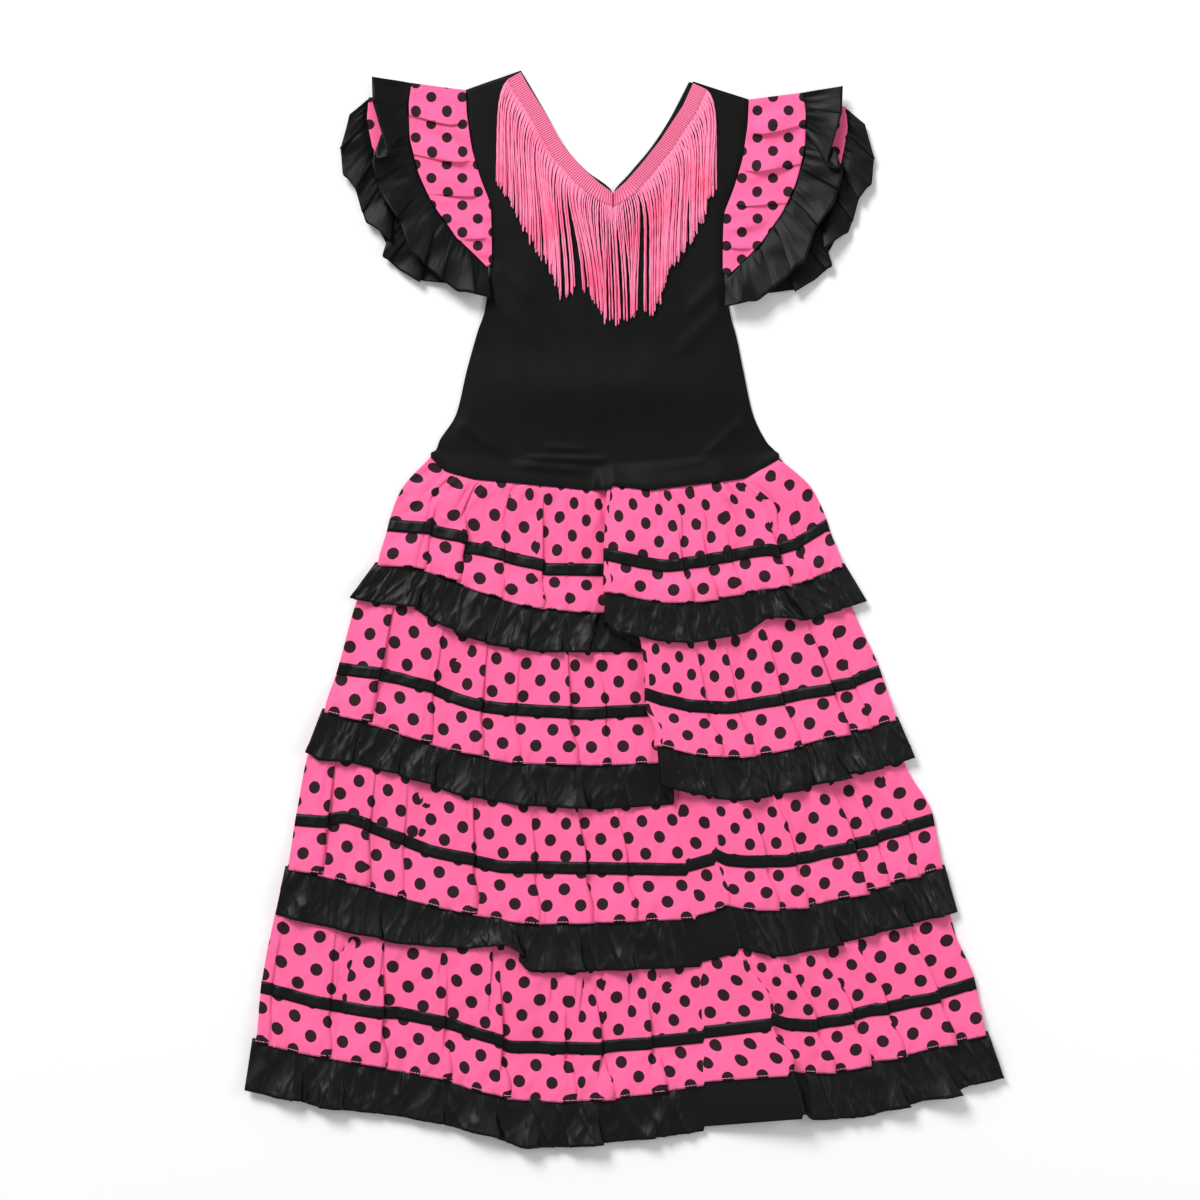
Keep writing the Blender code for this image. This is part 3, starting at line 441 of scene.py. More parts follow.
# %% [markdown]
# Between its named rows a tier is filled in with a monotone curve, which never overshoots, and then
# gathers are added: small waves that are strong at a seam and fade down the cloth. They come from a
# fixed noise, stretched down the cloth, so they are uneven and still the same each time.


# %% Fill rows and add gathers
def fill_rows(rows, stations, counts):
    """Rows between named ones, by a monotone cubic through each column."""
    points = np.array(rows)
    steps = np.diff(stations)
    slopes = (points[1:] - points[:-1]) / steps[:, None, None]
    before, after = slopes[:-1], slopes[1:]
    together = before * after > 0.0
    middle = np.where(together, 2.0 * before * after / np.where(together, before + after, 1.0), 0.0)
    tangents = np.concatenate((slopes[:1], middle, slopes[-1:]))
    spots, filled = [], []
    for k, count in enumerate(counts):
        last = k == len(counts) - 1
        for i in range(count + (1 if last else 0)):
            t = i / count
            h00, h10 = 2 * t**3 - 3 * t**2 + 1, t**3 - 2 * t**2 + t
            h01, h11 = -2 * t**3 + 3 * t**2, t**3 - t**2
            row = h00 * points[k] + h10 * steps[k] * tangents[k]
            row = row + h01 * points[k + 1] + h11 * steps[k] * tangents[k + 1]
            filled.append(row)
            spots.append(stations[k] + t * steps[k])
    return filled, spots


def run_length(row):
    """The distance along a row at each of its points, in metres."""
    points = np.array(row)
    steps = np.linalg.norm(np.diff(points, axis=0), axis=1)
    return np.concatenate(([0.0], np.cumsum(steps)))


def ripple(along_row, down, width, length, seed):
    """Uneven waves of about the given width across the cloth and length down it, from -1 to 1."""
    values = [noise.noise((a / width, down / length, seed)) for a in along_row]
    return 1.7 * np.array(values)


def crease_lines(along_row, down, width, length, seed):
    """Thin raised lines that wander down the cloth about a width apart, from 0 to 1."""
    values = np.abs(ripple(along_row, down, width, length, seed))
    return np.clip(1.0 - 4.0 * values, 0.0, 1.0) ** 2


def run_freely(row, reach=5):
    """For each point of a row, 1 where it runs on freely and 0 near where a pleat folds it back."""
    runs = np.gradient(np.array([p[0] for p in row]))
    usual = float(np.median(np.abs(runs)))
    lowest = runs.copy()
    for step in range(1, reach + 1):
        lowest[step:] = np.minimum(lowest[step:], runs[:-step])
        lowest[:-step] = np.minimum(lowest[:-step], runs[step:])
    return np.array([smooth(run / (0.6 * usual)) for run in lowest])


# %% [markdown]
# Materials next. Four effects are shared, so each is a node group built once. The weave group draws
# crossing threads at a real pitch and puts out a height and a fleck of lighter and darker thread.
# The dots group draws two square lattices of dots, one shifted by half a step both ways, which is a
# staggered polka dot. The stitch group draws a row of thread near both edges of a strip, and the
# crinkle group a soft height. All work on the cloth's flat coordinates, in metres.


# %% Node groups
def group(name, inputs, outputs):
    """An empty shader node group with named sockets."""
    made = bpy.data.node_groups.new(name, "ShaderNodeTree")
    for label, kind, value in inputs:
        socket = made.interface.new_socket(name=label, in_out="INPUT", socket_type=kind)
        if value is not None:
            socket.default_value = value
    for label, kind in outputs:
        made.interface.new_socket(name=label, in_out="OUTPUT", socket_type=kind)
    return made, made.nodes.new("NodeGroupInput"), made.nodes.new("NodeGroupOutput")


def maths(tree, kind, a, b=None, c=None):
    """A math node fed by sockets or numbers, and its result."""
    node = tree.nodes.new("ShaderNodeMath")
    node.operation = kind
    for slot, value in enumerate((a, b, c)):
        if value is None:
            continue
        if isinstance(value, (int, float)):
            node.inputs[slot].default_value = value
        else:
            tree.links.new(value, node.inputs[slot])
    return node.outputs[0]


def split_flat(tree, socket):
    """The across and down parts of a flat coordinate."""
    node = tree.nodes.new("ShaderNodeSeparateXYZ")
    tree.links.new(socket, node.inputs[0])
    return node.outputs[0], node.outputs[1]


def make_weave():
    """Crossing threads: a height for bump and a fleck for colour."""
    tree, given, out = group("crossing_threads", (
        ("Flat", "NodeSocketVector", None), ("Across Pitch", "NodeSocketFloat", 0.0005),
        ("Down Pitch", "NodeSocketFloat", 0.0005), ("Slub", "NodeSocketFloat", 0.3),
    ), (("Height", "NodeSocketFloat"), ("Fleck", "NodeSocketFloat")))
    u, v = split_flat(tree, given.outputs["Flat"])
    across = maths(tree, "DIVIDE", u, given.outputs["Across Pitch"])
    down = maths(tree, "DIVIDE", v, given.outputs["Down Pitch"])
    warp = maths(tree, "SINE", maths(tree, "MULTIPLY", across, 2.0 * math.pi))
    weft = maths(tree, "SINE", maths(tree, "MULTIPLY", down, 2.0 * math.pi))
    grain = tree.nodes.new("ShaderNodeTexNoise")
    grain.inputs["Scale"].default_value = 900.0
    grain.inputs["Detail"].default_value = 2.0
    tree.links.new(given.outputs["Flat"], grain.inputs["Vector"])
    crossed = maths(tree, "MULTIPLY", warp, weft)
    slub = maths(tree, "MULTIPLY", maths(tree, "SUBTRACT", grain.outputs["Fac"], 0.5), given.outputs["Slub"])
    height = maths(tree, "ADD", maths(tree, "MULTIPLY", crossed, 0.5), slub)
    tree.links.new(height, out.inputs["Height"])
    tree.links.new(maths(tree, "ADD", grain.outputs["Fac"], maths(tree, "MULTIPLY", crossed, 0.15)),
                   out.inputs["Fleck"])
    return tree


DOT_FRAY = 0.0005
DOT_EDGE = 0.0003


def make_dots():
    """Staggered dots: a mask that is 1 inside a dot."""
    tree, given, out = group("staggered_dots", (
        ("Flat", "NodeSocketVector", None), ("Across Step", "NodeSocketFloat", 0.028),
        ("Down Step", "NodeSocketFloat", 0.0262), ("Radius", "NodeSocketFloat", 0.0049),
        ("Across Start", "NodeSocketFloat", 0.0), ("Down Start", "NodeSocketFloat", 0.0),
    ), (("Mask", "NodeSocketFloat"),))
    u, v = split_flat(tree, given.outputs["Flat"])
    u = maths(tree, "ADD", u, given.outputs["Across Start"])
    v = maths(tree, "ADD", v, given.outputs["Down Start"])
    distances = []
    for shift in (0.0, 0.5):
        parts = []
        for value, step in ((u, "Across Step"), (v, "Down Step")):
            cell = maths(tree, "ADD", maths(tree, "DIVIDE", value, given.outputs[step]), shift)
            inside = maths(tree, "SUBTRACT", maths(tree, "FRACT", cell), 0.5)
            parts.append(maths(tree, "MULTIPLY", inside, given.outputs[step]))
        squares = [maths(tree, "MULTIPLY", part, part) for part in parts]
        distances.append(maths(tree, "SQRT", maths(tree, "ADD", *squares)))
    nearest = maths(tree, "MINIMUM", *distances)
    edge = tree.nodes.new("ShaderNodeTexNoise")
    edge.inputs["Scale"].default_value = 700.0
    tree.links.new(given.outputs["Flat"], edge.inputs["Vector"])
    fray = maths(tree, "SUBTRACT", edge.outputs["Fac"], 0.5)
    ragged = maths(tree, "ADD", nearest, maths(tree, "MULTIPLY", fray, DOT_FRAY))
    past = maths(tree, "DIVIDE", maths(tree, "SUBTRACT", given.outputs["Radius"], ragged), DOT_EDGE)
    mask = maths(tree, "MINIMUM", maths(tree, "MAXIMUM", maths(tree, "ADD", past, 0.5), 0.0), 1.0)
    tree.links.new(mask, out.inputs["Mask"])
    return tree


def make_stitches():
    """Machine stitches along a strip's edges: a mask that is 1 on the thread."""
    tree, given, out = group("stitch_rows", (
        ("Flat", "NodeSocketVector", None), ("Band", "NodeSocketFloat", 1.0),
        ("Inset", "NodeSocketFloat", 0.0015), ("Thread", "NodeSocketFloat", 0.0005),
        ("Pitch", "NodeSocketFloat", 0.0026),
    ), (("Mask", "NodeSocketFloat"),))
    u, v = split_flat(tree, given.outputs["Flat"])
    cell = maths(tree, "FRACT", maths(tree, "ADD", maths(tree, "DIVIDE", v, given.outputs["Band"]), 0.5))
    from_edge = maths(tree, "MULTIPLY", maths(tree, "ABSOLUTE", maths(tree, "SUBTRACT", cell, 0.5)),
                      given.outputs["Band"])
    off_line = maths(tree, "ABSOLUTE", maths(tree, "SUBTRACT", from_edge, given.outputs["Inset"]))
    on_line = maths(tree, "LESS_THAN", off_line, maths(tree, "MULTIPLY", given.outputs["Thread"], 0.5))
    stitch = maths(tree, "FRACT", maths(tree, "DIVIDE", u, given.outputs["Pitch"]))
    mask = maths(tree, "MULTIPLY", on_line, maths(tree, "LESS_THAN", stitch, 0.75))
    tree.links.new(mask, out.inputs["Mask"])
    return tree


def make_crinkle():
    """Soft crinkles of a thin cloth, longer down it than across: a height for bump."""
    tree, given, out = group("soft_crinkles", (
        ("Flat", "NodeSocketVector", None), ("Size", "NodeSocketFloat", 0.012),
        ("Stretch", "NodeSocketFloat", 0.5),
    ), (("Height", "NodeSocketFloat"),))
    u, v = split_flat(tree, given.outputs["Flat"])
    joined = tree.nodes.new("ShaderNodeCombineXYZ")
    tree.links.new(maths(tree, "DIVIDE", u, given.outputs["Size"]), joined.inputs[0])
    down = maths(tree, "DIVIDE", v, given.outputs["Size"])
    tree.links.new(maths(tree, "MULTIPLY", down, given.outputs["Stretch"]), joined.inputs[1])
    folds = tree.nodes.new("ShaderNodeTexNoise")
    folds.inputs["Scale"].default_value = 1.0
    folds.inputs["Detail"].default_value = 2.0
    folds.inputs["Roughness"].default_value = 0.40
    folds.inputs["Distortion"].default_value = 0.5
    tree.links.new(joined.outputs[0], folds.inputs["Vector"])
    tree.links.new(folds.outputs["Fac"], out.inputs["Height"])
    return tree


WEAVE = make_weave()
DOTS = make_dots()
CRINKLE = make_crinkle()
STITCHES = make_stitches()
print("node groups", WEAVE.name, DOTS.name, CRINKLE.name, STITCHES.name)


# %% Finishes
PINK = (0.96, 0.118, 0.322, 1.0)
PINK_PALE = (1.0, 0.162, 0.362, 1.0)
PINK_THREAD = (1.0, 0.30, 0.50, 1.0)
DOT_BROWN = (0.024, 0.007, 0.010, 1.0)
SATIN_BLACK = (0.0020, 0.0020, 0.0022, 1.0)
SATIN_GREY = (0.0050, 0.0050, 0.0054, 1.0)
BLACK_THREAD = (0.0008, 0.0008, 0.0009, 1.0)
KNIT_BLACK = (0.0012, 0.0012, 0.0013, 1.0)
KNIT_GREY = (0.0034, 0.0034, 0.0036, 1.0)
CORAL = (1.0, 0.265, 0.455, 1.0)
# Deeper coral: the yarns' own darker tone, and also the painted shade of the fringe's broad bands
CORAL_DEEP_AND_SHADE = (1.0, 0.115, 0.260, 1.0)
CORAL_SHADE = (0.80, 0.055, 0.160, 1.0)


def blank(name):
    """A material with its shader, and the piece's flat coordinates."""
    material = bpy.data.materials.new(name)
    material.use_nodes = True
    tree = material.node_tree
    shader = tree.nodes["Principled BSDF"]
    flat = tree.nodes.new("ShaderNodeUVMap")
    flat.uv_map = "UVMap"
    return material, tree, shader, flat.outputs[0]


def placed(tree, made, flat, **values):
    """A node group put in a material, with its own values."""
    node = tree.nodes.new("ShaderNodeGroup")
    node.node_tree = made
    tree.links.new(flat, node.inputs["Flat"])
    for label, value in values.items():
        node.inputs[label.replace("_", " ")].default_value = value
    return node


def blend_colours(tree, share, first, second):
    """A colour between two, each a socket or a colour."""
    node = tree.nodes.new("ShaderNodeMix")
    node.data_type = "RGBA"
    tree.links.new(share, node.inputs["Factor"])
    for slot, value in (("A", first), ("B", second)):
        socket = [s for s in node.inputs if s.name == slot and s.type == "RGBA"][0]
        if isinstance(value, tuple):
            socket.default_value = value
        else:
            tree.links.new(value, socket)
    return [s for s in node.outputs if s.type == "RGBA"][0]


def bump(tree, shader, *layers):
    """Heights fed to the shader as bump, coarse ones first: each a socket, strength and distance."""
    before = None
    for height, strength, distance in layers:
        node = tree.nodes.new("ShaderNodeBump")
        node.inputs["Strength"].default_value = strength
        node.inputs["Distance"].default_value = distance
        tree.links.new(height, node.inputs["Height"])
        if before:
            tree.links.new(before, node.inputs["Normal"])
        before = node.outputs[0]
    tree.links.new(before, shader.inputs["Normal"])


def dotted_cloth(name, across_start, down_start, steps=(0.028, 0.0262), radius=0.0049):
    """Pink plain-weave cloth with dark dots printed on it."""
    material, tree, shader, flat = blank(name)
    weave = placed(tree, WEAVE, flat, Across_Pitch=0.00045, Down_Pitch=0.00045, Slub=0.6)
    crinkle = placed(tree, CRINKLE, flat, Size=0.010, Stretch=0.5)
    dots = placed(tree, DOTS, flat, Across_Start=across_start, Down_Start=down_start, Across_Step=steps[0],
                  Down_Step=steps[1], Radius=radius)
    pink = blend_colours(tree, weave.outputs["Fleck"], PINK, PINK_PALE)
    printed = blend_colours(tree, dots.outputs["Mask"], pink, DOT_BROWN)
    stitches = placed(tree, STITCHES, flat, Inset=0.0016, Thread=0.0006)
    colour = blend_colours(tree, stitches.outputs["Mask"], printed, PINK_THREAD)
    tree.links.new(colour, shader.inputs["Base Color"])
    shader.inputs["Roughness"].default_value = 0.72
    shader.inputs["Specular IOR Level"].default_value = 0.18
    bump(tree, shader, (crinkle.outputs["Height"], 0.35, 0.0012), (weave.outputs["Height"], 0.35, 0.00012))
    return material


def satin(name, shine, crinkled, stitched):
    """Black satin: smooth floats along the weft, so the light runs down it in soft bands."""
    material, tree, shader, flat = blank(name)
    weave = placed(tree, WEAVE, flat, Across_Pitch=0.0011, Down_Pitch=0.00032, Slub=0.9)
    crinkle = placed(tree, CRINKLE, flat, Size=0.0065, Stretch=0.35)
    colour = blend_colours(tree, weave.outputs["Fleck"], SATIN_BLACK, SATIN_GREY)
    if stitched:
        stitches = placed(tree, STITCHES, flat, Band=RIBBON_WIDTH, Inset=0.0013, Thread=0.0006)
        colour = blend_colours(tree, stitches.outputs["Mask"], colour, BLACK_THREAD)
    tree.links.new(colour, shader.inputs["Base Color"])
    shader.inputs["Roughness"].default_value = 0.40
    shader.inputs["Specular IOR Level"].default_value = shine
    shader.inputs["Anisotropic"].default_value = 0.35
    bump(tree, shader, (crinkle.outputs["Height"], 1.0, crinkled), (weave.outputs["Height"], 0.30, 0.00010))
    return material


def knit(name):
    """Fine black stretch knit: small wales with a matt nap."""
    material, tree, shader, flat = blank(name)
    weave = placed(tree, WEAVE, flat, Across_Pitch=0.0009, Down_Pitch=0.0007, Slub=0.8)
    colour = blend_colours(tree, weave.outputs["Fleck"], KNIT_BLACK, KNIT_GREY)
    tree.links.new(colour, shader.inputs["Base Color"])
    shader.inputs["Roughness"].default_value = 0.50
    shader.inputs["Specular IOR Level"].default_value = 0.12
    shader.inputs["Sheen Weight"].default_value = 0.02
    shader.inputs["Sheen Roughness"].default_value = 0.40
    bump(tree, shader, (weave.outputs["Height"], 0.5, 0.00015))
    return material


TIER_CLOTH = [dotted_cloth(f"pink_dotted_{k + 1}", *start) for k, start in enumerate(
    ((0.0, -0.0104), (0.006, -0.0016), (0.012, -0.0016), (0.004, -0.0020)))]
SLEEVE_CLOTH = dotted_cloth("pink_dotted_sleeve", 0.0055, 0.0020, (0.0248, 0.0216), 0.0041)
SATIN_RUFFLE = satin("black_satin_ruffle", 0.19, 0.00025, False)
SATIN_SLEEVE = satin("black_satin_sleeve", 0.13, 0.0004, False)
SATIN_RIBBON = satin("black_satin_ribbon", 0.18, 0.0003, True)
KNIT_CLOTH = knit("black_stretch_knit")
print("materials", len(bpy.data.materials))

# %% [markdown]
# The skirt is made tier by tier. A tier's front is one sheet: its top is hidden under the ruffle
# above, its ribbon is sewn on between two of its rows, and its hem turns over the ruffle's root.
# The ribbon is lifted from the tier's own rows, so it follows every pleat.


# %% Skirt fronts
def tier_rows(tier, columns):
    """The named rows of a tier's front, as in its solid."""
    top, shown, ribbon, seam, shown_ends = TIERS[tier]
    width = RIBBON_WIDTH / GRID
    lap = HEM_OVERLAP / GRID
    top_ends = (LINES[top][0][0][0] + 1.0, LINES[top][1][-1][0] - 1.0)
    seam_ends = (LINES[seam][0][0][0], LINES[seam][1][-1][0])
    ribbon_ends = (LINES[ribbon][0][0][0], LINES[ribbon][1][-1][0])
    low_ends = tuple(a + (b - a) * width / 50.0 for a, b in zip(ribbon_ends, seam_ends))
    turn_ends = (seam_ends[0] + 2.0, seam_ends[1] - 2.0)
    shown_line = shown if tier == 0 else f"free_{tier}"
    cover = FOLD[shown_line][1] if tier else None
    hem = 2.0 * SKIRT_LAYER + GAP
    top_fold = f"top_{tier + 1}" if tier else top
    up = CLOTH
    return [
        skirt_row(top, top_fold, columns, up, top_ends, -1.7 * lap if tier else 0.0, None, FOLD[top][0]),
        skirt_row(shown_line, shown, columns, up, shown_ends, 2.0 if tier else 0.0,
                  pleat_rise(tier, SHOWN_PLEAT if tier else 0.6, shown_ends, cover)),
        skirt_row(ribbon, ribbon, columns, up, None, 0.0, pleat_rise(tier, 1.0, None)),
        skirt_row(ribbon, ribbon, columns, up, low_ends, width, pleat_rise(tier, 1.0, low_ends)),
        skirt_row(seam, seam, columns, up + hem, turn_ends, -2.7 * lap, pleat_rise(tier, 0.7, turn_ends)),
        skirt_row(seam, seam, columns, up + hem, seam_ends, 0.0, pleat_rise(tier, 0.7, seam_ends)),
    ]


def column_counts(line):
    """Columns for the left and right part of a line, about the same width each."""
    left, right = LINES[line]
    return (round((left[-1][0] - left[0][0]) / COLUMN), round((right[-1][0] - right[0][0]) / COLUMN))


GATHER_ROWS = ((6, 8, 4, 10, 3), (4, 10, 4, 10, 3), (4, 11, 4, 10, 3), (4, 12, 4, 11, 3))
HIDDEN_GATHER = 0.15
SHOWN_PLEAT = 0.42
FOLD_FREE = 14
RIBBON_LIFT = 0.0002

# Heights of a tier's gathers, and how far those of its top, middle and hem reach, in metres
TOP_GATHER, TOP_REACH = 0.0015, 0.022
MIDDLE_GATHER, MIDDLE_REACH = 0.0014, 0.060
LOW_GATHER, LOW_REACH = 0.0008, 0.016
TAPE_GATHER = 0.00028
BROAD_SWELL = 0.0012
SLANTED = 0.0006
TOP_CREASE, LOW_CREASE = 0.0009, 0.0004


def slant_along(row, parts):
    """The slope of a row in plan, smooth along each part and blended over the fold between them."""
    path = run_length(row)
    spots, slopes = [], []
    for start, end in parts:
        here = path[start:end]
        bend = np.polyder(np.polyfit(here, row[start:end, 1], 3))
        spots.extend(here)
        slopes.extend(np.polyval(bend, here))
    return np.interp(path, spots, slopes)


def split_rows(rows, valley, ridge):
    """Rows parted at two columns, which the parts on both sides keep."""
    ranges = ((0, valley + 1), (valley, ridge + 1), (ridge, len(rows[0])))
    return [[row[start:end] for row in rows] for start, end in ranges]


def flat_coordinates(rows, guide, down_from, parts):
    """Each point's flat place: along the guide row and up from the hem, turned with the hem's slant.

    They come as three patches, the left part, the fold and the right part. Each has its own slant.
    """
    points = np.array(rows)
    lengths = run_length(rows[guide])
    steps = np.linalg.norm(np.diff(points, axis=1), axis=2)
    across_parts = []
    for start, end in parts:
        anchor = (start + end) // 2
        widths = points[:, end - 1, 0] - points[:, start, 0]
        grown = (lengths[start:end] - lengths[anchor])[None, :] * (widths / widths[guide])[:, None]
        moved = points[:, anchor, 0] - points[guide, anchor, 0]
        across_parts.append(lengths[anchor] + moved[:, None] + grown)
    valley, ridge = parts[0][1] - 1, parts[1][0]
    back = np.cumsum(steps[:, valley:ridge][:, ::-1], axis=1)[:, ::-1]
    left, right = across_parts
    fold = np.concatenate((right[:, :1] - back, right[:, :1]), axis=1)
    down = np.linalg.norm(np.diff(points, axis=0), axis=2)
    down = np.concatenate((np.zeros((1, points.shape[1])), np.cumsum(down, axis=0)), axis=0)
    up = down[down_from:down_from + 1] - down
    hem = points[down_from]
    slant = slant_along(hem, parts)
    path = run_length(hem)
    fold_slant = np.full(ridge + 1 - valley, (hem[ridge, 1] - hem[valley, 1]) / (path[ridge] - path[valley]))
    patches = []
    for across, here, slanted in ((left, slice(0, valley + 1), slant[:valley + 1]),
                                  (fold, slice(valley, ridge + 1), fold_slant),
                                  (right, slice(ridge, None), slant[ridge:])):
        turned_across = across + up[:, here] * slanted
        turned_up = up[:, here] * np.sqrt(1.0 - slanted ** 2)
        patches.append([list(zip(a, b)) for a, b in zip(turned_across.tolist(), turned_up.tolist())])
    return patches


def clear_of_fold(count, fold_from, fold_to):
    """For each of a row's points, 0 in the fold and 1 from a few columns away from it."""
    gaps = [max(fold_from - i, i - fold_to, 0) for i in range(count)]
    return np.array([smooth(gap / FOLD_FREE) for gap in gaps])


def gathered(rows, spots, depth, ribbon_at, seed, fold_from, fold_to, hidden):
    """Gathers added to a tier: close ones at its seams and ribbon, broad soft ones between."""
    lengths = run_length(rows[len(rows) // 2])
    clear = clear_of_fold(len(lengths), fold_from, fold_to)
    out = []
    for number, (row, down) in enumerate(zip(rows, spots)):
        top = TOP_GATHER * math.exp(-down / TOP_REACH)
        middle = MIDDLE_GATHER * math.exp(-down / MIDDLE_REACH)
        low = LOW_GATHER * math.exp(-(depth - down) / LOW_REACH)
        tape = TAPE_GATHER * math.exp(-((down - ribbon_at) / RIBBON_WIDTH) ** 2)
        push = top * ripple(lengths, down, 0.0062, 0.050, seed)
        push = push + middle * ripple(lengths, down, 0.0125, 0.090, seed + 7.0)
        push = push + (low + tape) * ripple(lengths, down, 0.0075, 0.030, seed + 13.0)
        push = push + BROAD_SWELL * ripple(lengths, down, 0.0300, 0.110, seed + 21.0)
        push = push + SLANTED * ripple(lengths + 0.8 * down, down, 0.0110, 0.022, seed + 33.0)
        sharp = TOP_CREASE * math.exp(-down / 0.045) + LOW_CREASE * math.exp(-(depth - down) / 0.020)
        push = push + sharp * crease_lines(lengths + 0.3 * down, down, 0.0120, 0.070, seed + 41.0)
        push = push + sharp * crease_lines(lengths - 0.5 * down, down, 0.0190, 0.050, seed + 47.0)
        push = push * (HIDDEN_GATHER if number < hidden else 1.0) * smooth((down + 0.001) / 0.010)
        out.append(lift_row([tuple(p) for p in row], push * clear * run_freely(row)))
    return out, lengths


TIER_SIZES = []
SKIRT = []
for tier in range(4):
    number = tier + 1
    counts = column_counts(TIERS[tier][2])
    named = tier_rows(tier, counts)
    middle = counts[0] // 2
    heads = [row[middle] for row in named]
    stations = [0.0]
    for a, b in zip(heads, heads[1:]):
        stations.append(stations[-1] + math.dist(a, b))
    filled, spots = fill_rows(named, stations, GATHER_ROWS[tier])
    folded = (counts[0], counts[0] + 3 * FOLD_STEPS)
    rows, lengths = gathered(filled, spots, stations[-1], stations[2] + 0.5 * RIBBON_WIDTH, 3.0 * number,
                             *folded, GATHER_ROWS[tier][0] if tier else 0)
    parts = ((0, folded[0] + 1), (folded[1], len(filled[0])))
    flats = flat_coordinates(filled, sum(GATHER_ROWS[tier][:2]), len(filled) - 1, parts)
    patches = list(zip(split_rows(rows, *folded), flats))
    front = fitted(f"skirt_tier_{number}_front", patches, TIER_CLOTH[tier], CLOTH,
                   f"tier_{number}_front")
    first = sum(GATHER_ROWS[tier][:2])
    last = first + GATHER_ROWS[tier][2]
    lifted = [lift_row(row, RIBBON_LIFT + RIBBON) for row in rows[first:last + 1]]
    strips = [[[(along, RIBBON_WIDTH * k / (last - first)) for along, _up in part[first]]
               for k in range(last - first + 1)] for part in flats]
    patches = list(zip(split_rows(lifted, *folded), strips))
    ribbon = fitted(f"ribbon_{number}_front_cloth", patches, SATIN_RIBBON, RIBBON,
                    f"ribbon_{number}_front")
    TIER_SIZES.append((lengths[-1], stations[-1]))
    SKIRT.append((front, ribbon))
    print("tier", number, "columns", len(rows[0]), "rows", len(rows), "flat", TIER_SIZES[-1])


# %% [markdown]
# A satin ruffle is a gathered strip. Its root is held flat under the tier's hem, and the fullness
# opens into waves towards its free edge. The tight gathers at the root fade as the waves grow.


# %% Ruffle fronts
RUFFLE_ROWS = (5, 8)
ROOT_GATHER = 0.0011
FLUTTER = 0.0020
WIDE_CREASE, FINE_CREASE = 0.0017, 0.0012
RUFFLES = []
for ruffle in range(4):
    number = ruffle + 1
    seam, free = f"seam_{number}", f"free_{number}"
    counts = column_counts(free)
    lap = HEM_OVERLAP / GRID
    seam_ends = (LINES[seam][0][0][0] - 2.0, LINES[seam][1][-1][0] + 2.0)
    below = FOLD[TIERS[ruffle + 1][1]][0] if ruffle < 3 else None
    up = SKIRT_LAYER + SATIN
    root = skirt_row(seam, seam, counts, up, seam_ends, -lap)
    flat = skirt_row(free, free, counts, up, None, 0.0, None, below)
    edge = skirt_row(free, free, counts, up, None, 0.0, wave_rise(ruffle), below)
    middle = [tuple(p + (q - p) * 0.45 + (r - q) * 0.25 for p, q, r in zip(a, b, c))
              for a, b, c in zip(root, flat, edge)]
    spot = counts[0] // 3
    stations = [0.0, math.dist(root[spot], middle[spot])]
    stations.append(stations[1] + math.dist(middle[spot], edge[spot]))
    filled, spots = fill_rows([root, middle, edge], stations, RUFFLE_ROWS)
    lengths = run_length(edge)
    folded = (counts[0], counts[0] + 3 * FOLD_STEPS)
    clear = clear_of_fold(len(lengths), *folded)
    rows = []
    for row, down in zip(filled, spots):
        share = down / stations[-1]
        push = ROOT_GATHER * math.exp(-2.5 * share) * ripple(lengths, down, 0.0050, 0.040, 31.0 + number)
        push = push + FLUTTER * ripple(lengths + 0.3 * down, down, 0.0150, 0.060, 43.0 + number)
        push = push + WIDE_CREASE * crease_lines(lengths - 0.4 * down, down, 0.0170, 0.050, 57.0 + number)
        push = push + FINE_CREASE * crease_lines(lengths + 0.6 * down, down, 0.0110, 0.030, 63.0 + number)
        push = np.maximum(push + 0.0004, -0.0002) * smooth(share * 5.0)
        rows.append(lift_row([tuple(p) for p in row], push * clear * run_freely(row)))
    flats = flat_coordinates(filled, len(filled) - 1, 0, ((0, folded[0] + 1), (folded[1], len(edge))))
    patches = list(zip(split_rows(rows, *folded), flats))
    piece = fitted(f"ruffle_{number}_front_cloth", patches, SATIN_RUFFLE, SATIN,
                   f"ruffle_{number}_front")
    RUFFLES.append((piece, lengths[-1], stations[-1]))
    print("ruffle", number, "flat", round(lengths[-1], 3), round(stations[-1], 4))

# %% [markdown]
# The skirt's back lies under the front with its own tiers, ribbons and ruffles, and hardly shows.
# It's made of the same cloths, nearly flat, with a few soft ripples, since the whole dress rests
# on it. The ruffles are lowest, and the tiers lie on their roots.

# %% Skirt backs
BACK_LINES = {
    "waist": ((434, 462), (776, 463), 486),
    "ribbon_1": ((394, 521), (822, 521), 556),
    "seam_1": ((382, 567), (838, 567), 603),
    "free_1": ((356, 600), (860, 600), 640),
    "ribbon_2": ((344, 664), (874, 665), 698),
    "seam_2": ((329, 713), (891, 720), 757),
    "free_2": ((312, 753), (908, 757), 798),
    "ribbon_3": ((301, 813), (928, 813), 855),
    "seam_3": ((292, 869), (938, 868), 915),
    "free_3": ((281, 914), (951, 911), 956),
    "ribbon_4": ((265, 980), (969, 977), 1026),
    "seam_4": ((259, 1041), (981, 1034), 1086),
    "free_4": ((250, 1086), (998, 1075), 1128),
}
BACK_COLUMNS = 160
TIER_BACK_ROWS, RUFFLE_BACK_ROWS, RIBBON_BACK_ROWS = 14, 8, 4

# How far the backs' ripples lower them, the part at a seam and what is hidden under the next piece
TIER_SLACK = 0.0002
RUFFLE_SLACK = 0.0004
SEAM_PART = 0.0002
ROOT_HIDDEN = 0.0013
RIBBON_INSET = 1.5


